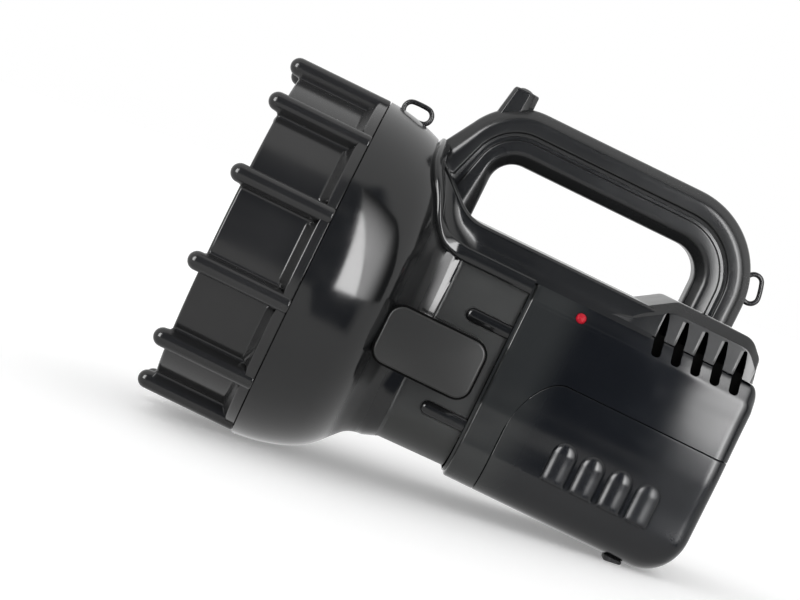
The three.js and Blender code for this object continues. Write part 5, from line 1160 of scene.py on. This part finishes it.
def vent_cutters(outline, near, far):
    """Closed prisms of an outline in X and Z for every vent on both sides."""
    cuts = Skin()
    for x in VENT_X + VENT_PITCH * np.arange(VENTS):
        for side in (-1, 1):
            cuts.tube(plate(lambda inset: np.asarray(outline) + [x, 0], [(near, 0), (far, 0)], on_side(side)))
    return cuts


def build_vent_block(finish):
    """Vented block under the handle's rear leg: sections rise along a slope, run level and fall
    over a bevelled rear end; each vent is a slot that widens downwards beside a shallow bevel."""
    floor, top, half = BOX_TOP + GAP, PEDESTAL_TOP, 45.0
    roof = rounded([[136.5, floor], [167.4, top], [208.3, top], [215.4, 57.2], [216.7, floor]],
                   [0, 6, 9, 4, 0], 12, closed=False)
    roof = np.concatenate([np.linspace(roof[0], roof[1], 14), roof[2:]])
    _, first = np.unique(np.round(roof[:, 0], 4), return_index=True)
    roof = resampled(roof[np.sort(first)], 90)
    draft, bevel, drop = 1.1, 5.5, 5.7
    rows = []
    for x, h in roof:
        g = min(max((h - floor) / 9, 0.02), 1)
        line = rounded([[-half, floor - 0.02], [-half + draft * g, h - drop * g], [-half + bevel * g, h],
                        [half - bevel * g, h], [half - draft * g, h - drop * g], [half, floor - 0.02]],
                       [0, 1.6 * g, 1.8 * g, 1.8 * g, 1.6 * g, 0], 7, closed=False)
        rows.append(np.concatenate([np.full((len(line), 1), x), line], 1))
    block = piece("vent_block", Skin().tube(rows), "lamp_body", finish, ["vent_pedestal"], 36)
    slot = [[0, 57.4], [0.8, 58.1], [1.7, 57.6], [2.9, 54.0], [3.8, 50.5], [5.0, 43.4], [0.0, 43.4]]
    # the slots' cut faces take the near-black finish: painted shade
    carve(block, vent_cutters(slot, half - 14, half + 3), finish=FINISHES["dark"])
    bevels = Skin()
    strip = np.array([[-1.5, 57.4], [0.02, 57.4], [0.02, 45.3], [-0.7, 45.6], [-1.2, 47.4]])
    wall = half - draft * (strip[:, 1] - floor) / 14.1
    deep = np.where(strip[:, 0] > 0, 0.32, -0.02)
    for x in VENT_X + VENT_PITCH * np.arange(VENTS):
        for side in (-1, 1):
            bevels.tube(np.stack([np.stack([x + strip[:, 0], side * out, strip[:, 1]], 1)
                                  for out in (wall - deep, wall + 2)]))
    carve(block, bevels)
    shade(block, 8)


def turned_piece(name, profile, sides, body, finish, nodes, crease=40, closed=False, base=(0, 0, 0)):
    """Adds a turned piece; a closed profile makes a ring and an open one gets flat ends."""
    rings = turned(profile, sides, base)
    skin = Skin().grid(rings, wrap_rows=True, wrap_columns=True) if closed else Skin().tube(rings)
    piece(name, skin, body, finish, nodes, crease)


def build_eyelet(name, base, angle, node, finish):
    """Oval wire eyelet that stands off a surface: a circle whose halves are moved apart along the
    surface by the hyperbolic tangent of the cosine."""
    wire, long_, short = 2.5, 17.3, 11.0
    away = np.array([math.cos(angle), 0, math.sin(angle)])
    along = np.array([-math.sin(angle), 0, math.cos(angle)])
    a, b = circle(64)[:, None], circle(16)
    reach = (short - wire) / 2
    path = np.array([base[0], 0, base[1]]) + away * (short / 2 - 2.9) + away * reach * np.sin(a) \
        + along * ((long_ - short) / 2 * np.tanh(np.cos(a) * 4) + reach * np.cos(a))
    ring = np.stack([np.cos(b), np.sin(b)], 1) * wire / 2
    normal = np.cross(unit(np.roll(path, -1, 0) - np.roll(path, 1, 0)), [0, 1, 0])
    rings = path[:, None] + ring[None, :, :1] * normal[:, None] + ring[None, :, 1:] * np.array([0, 1.0, 0])
    piece(name, Skin().tube(rings, closed=True), "lamp_body", finish, [node], 60)


def build_small(finishes):
    """Strap eyelets, feet, lens, gasket, reflector, bulb, holder, socket and its cap."""
    at = 14.0
    build_eyelet("front_eyelet_wire", [at, np.interp(at, BOWL[:, 0], BOWL[:, 1])], math.pi / 2,
                 "front_strap_eyelet", finishes["eyelet"])
    at = math.radians(13.4)
    build_eyelet("rear_eyelet_wire",
                 [REAR_X + REAR_R * math.cos(at), GRIP_TOP - REAR_R + REAR_R * math.sin(at)], at,
                 "rear_strap_eyelet", finishes["eyelet"])

    front, back, edge = GLASS_X, GLASS_X + LAYER, STACK_R - 0.3
    share = np.linspace(0.001, 1, 24)
    rise, reach = 2.4 * (1 - share ** 2), share * (HEAD_R - 16.1)
    lens = np.concatenate([np.stack([front - rise, reach], 1), [[front, edge], [front + 0.3, STACK_R]],
                           [[back - 0.3, STACK_R], [back, edge]], np.stack([back - rise, reach], 1)[::-1]])
    turned_piece("front_glass", lens, 96, "lens_pack", finishes["lens"], ["front_lens"])
    front, back, low = SEAL_X, SEAL_X + LAYER, STACK_R - 3.4
    seal = rounded([[front, low], [front, STACK_R], [back, STACK_R], [back, low]], 0.7, 5)
    turned_piece("lens_seal", seal, 96, "lens_pack", finishes["rubber"], ["lens_gasket"],
                 60, closed=True)

    mouth, hole, depth, flange, sheet = HEAD_R - 16.8, 11.0, 72.0, FLANGE_X, 1.6
    focal = mouth ** 2 / (4 * depth)
    radius = np.linspace(hole, mouth, 48)
    curve = np.stack([flange + depth - radius ** 2 / (4 * focal), radius], 1)
    slope = radius / (2 * focal)
    back = curve + sheet / np.hypot(1, slope)[:, None] * np.stack([np.ones(len(slope)), slope], 1)
    back = back[back[:, 0] > flange + sheet]
    end = flange + depth + 8
    rim = [[flange, STACK_R], [flange + sheet, STACK_R], [flange + sheet, back[-1, 1] + 0.2]]
    bowl = np.concatenate([curve, rim, back[::-1], [[end, hole + sheet], [end, hole]]])
    turned_piece("mirror_bowl", bowl, 96, "lamp_body", finishes["mirror"], ["reflector"],
                 closed=True)

    holder, bulb_r, collar, neck = end + GAP, 6.3, 16, 9
    seat = rounded([[end - 4, bulb_r], [end - 4, hole - 0.3], [holder, hole - 0.3], [holder, collar],
                    [holder + 3, collar], [holder + 3, neck], [holder + 13, neck],
                    [holder + 13, bulb_r]], 0.5, 4)
    turned_piece("bulb_seat", seat, 48, "lamp_body", finishes["holder"], ["bulb_holder"],
                 closed=True)
    tip, glass_r, axis_r = holder + 8 - 32, 4.6, 0.05
    glass_end = tip + 16
    a = np.linspace(0.02, math.pi / 2, 12)
    glass = np.concatenate([np.stack([tip + glass_r * (1 - np.cos(a)), glass_r * np.sin(a)], 1),
                            [[glass_end - 0.6, glass_r], [glass_end, glass_r - 0.4], [glass_end, axis_r]]])
    base = rounded([[glass_end, axis_r], [glass_end, 5.3], [glass_end + 0.8, 6.0], [glass_end + 16, 6.0],
                    [glass_end + 16, axis_r]], [0, 0.3, 0.4, 0.5, 0], 4, closed=False)
    turned_piece("bulb_envelope", glass, 40, "lamp_body", finishes["bulb"], ["bulb"])
    turned_piece("bulb_cap", base, 40, "lamp_body", finishes["steel"], [])

    for name in ("foot_left", "foot_right"):
        low, high = (np.array(corner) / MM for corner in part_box(name))
        levels = [(0.02, 0.5), (0.25, 0.15), (0.7, 0), (2.6, 0)]
        rings = plate(rectangle(low[0], high[0], low[1], high[1], 2.2, 6), levels,
                      lambda line, z: np.stack([line[:, 0], line[:, 1], np.full(len(line), z)], 1))
        rings[-1, :, 2] = np.interp(rings[-1, :, 0], [low[0], high[0]], [2.6, 1.3])
        piece("rubber_" + name, Skin().tube(to_lamp(rings * MM)), "battery_door", finishes["rubber"],
              [name], 50)

    start, end, plug = 205.8, 219.9, 3.9
    bore = rounded([[start, axis_r], [start, 5.8], [end, 5.8], [end, plug], [209.4, plug], [209.4, axis_r]],
                   [0, 0.3, 0.4, 0.4, 0, 0], 4, closed=False)
    turned_piece("socket_body", bore, 40, "lamp_body", finishes["inner"], ["charge_socket"],
                 base=(0, 0, SOCKET_Z))
    front = BOX_REAR - 2.8 + GAP
    levels = [(front, 0.3), (front + 0.3, 0), (front + 1.2, 0), (front + 1.6, 0.2), (front + 1.8, 0.7)]
    hinge = rounded([[-4, 0.85], [-4, 1.1], [4, 1.1], [4, 0.85]], 0.1, 3)
    lid = Skin().tube(plate(rectangle(-8.6, 8.6, 12.4, 30.2, 1.6, 6), levels, on_rear))
    lid.grid(turned(hinge, 24, (BOX_REAR - 1.4, 0, 31.6), (0, 1, 0)), wrap_rows=True, wrap_columns=True)
    lid.tube(plate(rectangle(-4, 4, 28, 31.4, 0.3, 3), [(front + 0.2, 0), (front + 1.6, 0)], on_rear))
    piece("socket_lid", lid, "charge_cap", finishes["rubber"], ["socket_cap"], 50)


# Solids that keep their own mesh, by finish.
KEPT = {
    "steel": ("bulb_clip", "handle_screw_1", "handle_screw_2", "cap_pin", "neck_screw_1", "neck_screw_2",
              "neck_screw_3", "neck_screw_4", "battery_band", "band_screw_left", "band_screw_right"),
    "inner": ("switch_body", "battery_shelf"), "battery": ("battery",), "board": ("charge_board",),
    "wire_black": ("lamp_lead", "switch_lead", "battery_lead_black"), "wire_red": ("battery_lead_red",),
}


def dress_inside(finishes):
    """Gives every solid that keeps its own mesh its procedural material."""
    for key, nodes in KEPT.items():
        for node in nodes:
            mesh = frame["nodes"][node].data
            mesh.materials.clear()
            mesh.materials.append(finishes[key])


# ---------------------------------------------------------------- stage

def lamp_direction(azimuth, elevation):
    """Direction in the lamp's frame: azimuth 0 looks towards the near side, 90 to the rear."""
    a, e = math.radians(azimuth), math.radians(elevation)
    return np.array([math.sin(a) * math.cos(e), -math.cos(a) * math.cos(e), math.sin(e)]) @ TURN


PANEL_FAR = 1000


def glow_panel(name, low, high, strength):
    """Softbox that only gloss sees: an upright panel beside the lamp between two corners [x, z] in
    the lamp's millimetres, its strength a function of the place across and up it."""
    mesh = bpy.data.meshes.new(name)
    (x0, z0), (x1, z1), y = low, high, -PANEL_FAR
    mesh.from_pydata(to_row([(x0, y, z0), (x1, y, z0), (x1, y, z1), (x0, y, z1)]), [], [(0, 1, 2, 3)])
    uv = mesh.uv_layers.new(name="across")
    uv.data.foreach_set("uv", [0, 0, 1, 0, 1, 1, 0, 1])
    obj = bpy.data.objects.new(name, mesh)
    bpy.context.scene.collection.objects.link(obj)
    material = bpy.data.materials.new(name)
    f = Nodes(material, "UV")
    material.cycles.emission_sampling = "NONE"
    u, v, _ = f.axes(f.place)
    f.node("ShaderNodeOutputMaterial", {}, f.node("ShaderNodeEmission", {}, (1.0, 1.0, 1.0), strength(u, v)))
    mesh.materials.append(material)
    for rays in ("camera", "diffuse", "transmission", "shadow", "volume_scatter"):
        setattr(obj, "visible_" + rays, False)


def build_floor():
    """Pale floor that keeps the shadow and is lifted to the white backdrop for the camera alone."""
    floor = bpy.data.meshes.new("floor")
    floor.from_pydata([(-6, -6, 0), (6, -6, 0), (6, 6, 0), (-6, 6, 0)], [], [(0, 1, 2, 3)])
    floor = bpy.data.objects.new("floor", floor)
    bpy.context.scene.collection.objects.link(floor)
    f = Finish("floor_white")
    seen = f.node("ShaderNodeLightPath", {}, out="Is Camera Ray")
    f.set(Base_Color=f.blend(f.noise(3, 2, 0.5), (0.84, 0.84, 0.84), (0.86, 0.86, 0.86)), Roughness=0.9,
          Specular_IOR_Level=0.1, Emission_Color=f.blend(seen, (0, 0, 0), (0.24, 0.24, 0.24)),
          Emission_Strength=1.0)
    floor.data.materials.append(f.material)
    floor.visible_glossy = False


def build_room(light):
    """White studio all round, with a dim opening on the near side that only reflections show. Its
    edges are set by the direction's azimuth, an arctangent, and its height, an arcsine."""
    world = bpy.data.worlds.new("studio")
    bpy.context.scene.world = world
    f = Nodes(world, "Generated")
    across = f.along(AXIS_X).angle_from(f.along(-AXIS_Y))
    rise = f.along(AXIS_Z).arcsine()
    wobble = (f.noise(2.2, 2, 0.5) - 0.5) * 0.25
    soft = 0.05
    low, deep, high, left, right = (math.radians(a) for a in (-8, -15, 63, -34, 46))
    rim = rise + wobble * 0.3 - across.steps(0.16, 0.36) * deep
    inside = rim.steps(low - soft, low + soft) * (1 - (rise + wobble).steps(high - soft, high + soft)) \
        * (across + wobble).steps(left - soft, left + soft) * (1 - across.steps(right - soft, right + soft * 6))
    dim = f.blend(f.noise(5, 3, 0.55).steps(0.45, 0.7), (0.07, 0.085, 0.12), (0.26, 0.27, 0.29))
    wall = f.blend(rise * 0.5 + 0.5, (0.72, 0.72, 0.72), (0.95, 0.95, 0.95))

    glossy, camera, through = (f.node("ShaderNodeLightPath", {}, out=f"Is {ray} Ray")
                               for ray in ("Glossy", "Camera", "Transmission"))
    colour = f.blend(glossy, (light.room,) * 3, f.blend(inside, wall, dim))
    room, white = (f.node("ShaderNodeBackground", {}, seen, 1.0) for seen in (colour, (1.0, 1.0, 1.0)))
    both_seen = f.node("ShaderNodeMixShader", {}, camera.at_least(through), room, white)
    f.node("ShaderNodeOutputWorld", {}, both_seen)


def build_camera():
    """Camera at the photograph's angle: level with the lamp's side and rolled 26 degrees."""
    camera = bpy.data.cameras.new("camera")
    camera.lens, camera.sensor_width = 112.5, 36
    camera.clip_start = 0.01
    eye = bpy.data.objects.new("camera", camera)
    bpy.context.scene.collection.objects.link(eye)
    back = Vector(lamp_direction(-1.4, 3.0))
    roll = math.radians(26)
    level = Vector(AXIS_X) - back * Vector(AXIS_X).dot(back)
    level.normalize()
    upright = back.cross(level)
    right = level * math.cos(roll) + upright * math.sin(roll)
    basis = Matrix((right, back.cross(right), back)).transposed().to_4x4()
    basis.translation = Vector(to_row([47.0, 0, 4.5])) + back * 1.25
    eye.matrix_world = basis
    bpy.context.scene.camera = eye


def build_stage(light):
    """Floor, room, camera and the two softboxes that the gloss shows."""
    bpy.context.scene.view_settings.view_transform = "Standard"
    build_floor()
    build_room(light)
    build_camera()

    left, right, bottom, top = 420, 9000, -60, 2000

    def window(u, v):
        """A bright core with crisp edges that narrows upwards, then a paler part that fades towards
        the rear; both are drawn by the azimuth of the place on the panel, an arctangent."""
        least, wider, soft = 0.41, 0.275, 0.008
        turn = ((u * (right - left) + left) / PANEL_FAR).arctangent()
        limit = least + (1 - v * 1.75).at_least(0) ** 0.6 * wider
        core = turn.steps(0.405, 0.413) * (1 - (turn - limit).steps(-soft, soft))
        halo = (turn - limit).steps(-soft, 0.03) * (1 - turn.steps(0.56, 1.3)) * (1 - v.steps(0.3, 0.95))
        return (core * light.key + halo * (light.key * 0.45)) * v.steps(0.0, 0.015)

    def even(u, v):
        """Full strength in the middle, with soft edges."""
        return u.steps(0.0, 0.25) * (1 - u.steps(0.75, 1.0)) * v.steps(0.0, 0.15) \
            * (1 - v.steps(0.85, 1.0)) * light.fill

    glow_panel("side_window", (left, bottom), (right, top), window)
    glow_panel("front_softbox", (-1700, -300), (-400, 900), even)


# ---------------------------------------------------------------- add-on

class SearchlightSizes(bpy.types.PropertyGroup):
    """Sizes of the details that a user may change"""
    bar_radius: FloatProperty(name="Bar radius", description="Radius of the round bars on the screw ring",
                              default=0.00465, min=0.003, max=0.006, unit="LENGTH")
    rib_height: FloatProperty(name="Rib height", description="How far the grip ribs stand out of the cover",
                              default=0.0028, min=0.001, max=0.004, unit="LENGTH")


class SearchlightColours(bpy.types.PropertyGroup):
    """Colours of the mouldings"""
    shell: FloatVectorProperty(name="Shell", description="Colour of the head, the saddle and the handle",
                               subtype="COLOR", size=3, min=0, max=1, default=(0.0145, 0.015, 0.0155))
    ring: FloatVectorProperty(name="Ring", description="Colour of the screw ring",
                              subtype="COLOR", size=3, min=0, max=1, default=(0.025, 0.025, 0.0255))
    box: FloatVectorProperty(name="Box", description="Colour of the battery box and its cover",
                             subtype="COLOR", size=3, min=0, max=1, default=(0.0085, 0.0095, 0.0115))


class SearchlightLight(bpy.types.PropertyGroup):
    """Strengths of the studio light"""
    room: FloatProperty(name="Room", description="Strength of the light from all round",
                        default=1.0, min=0, max=4)
    key: FloatProperty(name="Side window", description="Strength of the tall side window, in gloss",
                       default=14.0, min=0, max=40)
    fill: FloatProperty(name="Front softbox", description="Strength of the softbox before the lens, in gloss",
                        default=11.0, min=0, max=40)


class FinishesOperator(bpy.types.Operator):
    """Make the materials of every finish"""
    bl_idname = "searchlight.finishes"
    bl_label = "Finishes"

    def execute(self, context):
        build_finishes(context.scene.searchlight_colours)
        return {"FINISHED"}


class RingOperator(bpy.types.Operator):
    """Build the screw ring with its bars"""
    bl_idname = "searchlight.ring"
    bl_label = "Screw ring"

    def execute(self, context):
        build_ring(context.scene.searchlight_sizes, FINISHES["ring"])
        return {"FINISHED"}


class HeadOperator(bpy.types.Operator):
    """Build the lamp head with its neck and blank plates"""
    bl_idname = "searchlight.head"
    bl_label = "Lamp head"

    def execute(self, context):
        build_head(FINISHES["shell"])
        build_plates(FINISHES["plate"])
        return {"FINISHED"}


class HandleOperator(bpy.types.Operator):
    """Build the saddle, the handle and the switch"""
    bl_idname = "searchlight.handle"
    bl_label = "Handle"

    def execute(self, context):
        build_saddle(FINISHES["saddle"])
        build_handle(FINISHES["grip"])
        build_switch(FINISHES["grip"])
        return {"FINISHED"}


class BoxOperator(bpy.types.Operator):
    """Build the battery box with its cover and vents"""
    bl_idname = "searchlight.box"
    bl_label = "Battery box"

    def execute(self, context):
        build_box(FINISHES["box"], FINISHES["led"])
        build_cover(context.scene.searchlight_sizes, FINISHES["box"])
        build_vent_block(FINISHES["grip"])
        return {"FINISHED"}


class SmallOperator(bpy.types.Operator):
    """Build the small parts and dress the inside"""
    bl_idname = "searchlight.small"
    bl_label = "Small parts"

    def execute(self, context):
        build_small(FINISHES)
        dress_inside(FINISHES)
        return {"FINISHED"}


class StageOperator(bpy.types.Operator):
    """Set up the floor, the light and the camera"""
    bl_idname = "searchlight.stage"
    bl_label = "Stage"

    def execute(self, context):
        build_stage(context.scene.searchlight_light)
        return {"FINISHED"}


OPERATORS = (StageOperator, FinishesOperator, RingOperator, HeadOperator, HandleOperator, BoxOperator,
             SmallOperator)


class SearchlightPanel(bpy.types.Panel):
    """Lists the pieces of the searchlight"""
    bl_idname = "VIEW3D_PT_searchlight"
    bl_label = "Searchlight"
    bl_space_type = "VIEW_3D"
    bl_region_type = "UI"
    bl_category = "Searchlight"

    def draw(self, context):
        scene = context.scene
        for group, names in ((scene.searchlight_sizes, ("bar_radius", "rib_height")),
                             (scene.searchlight_colours, ("shell", "ring", "box")),
                             (scene.searchlight_light, ("room", "key", "fill"))):
            for name in names:
                self.layout.prop(group, name)
        for operator in OPERATORS:
            self.layout.operator(operator.bl_idname)


GROUPS = {"searchlight_sizes": SearchlightSizes, "searchlight_colours": SearchlightColours,
          "searchlight_light": SearchlightLight}


def register():
    """Registers the add-on's classes and its groups of settings."""
    for cls in (*GROUPS.values(), *OPERATORS, SearchlightPanel):
        bpy.utils.register_class(cls)
    for name, group in GROUPS.items():
        setattr(bpy.types.Scene, name, PointerProperty(type=group))


def unregister():
    """Takes the groups and the classes away again."""
    for name in GROUPS:
        delattr(bpy.types.Scene, name)
    for cls in reversed((*GROUPS.values(), *OPERATORS, SearchlightPanel)):
        bpy.utils.unregister_class(cls)


def main():
    """Builds the whole scene with the add-on's operators."""
    register()
    for operator in OPERATORS:
        group, name = operator.bl_idname.split(".")
        getattr(getattr(bpy.ops, group), name)()


if __name__ == "__main__":
    main()
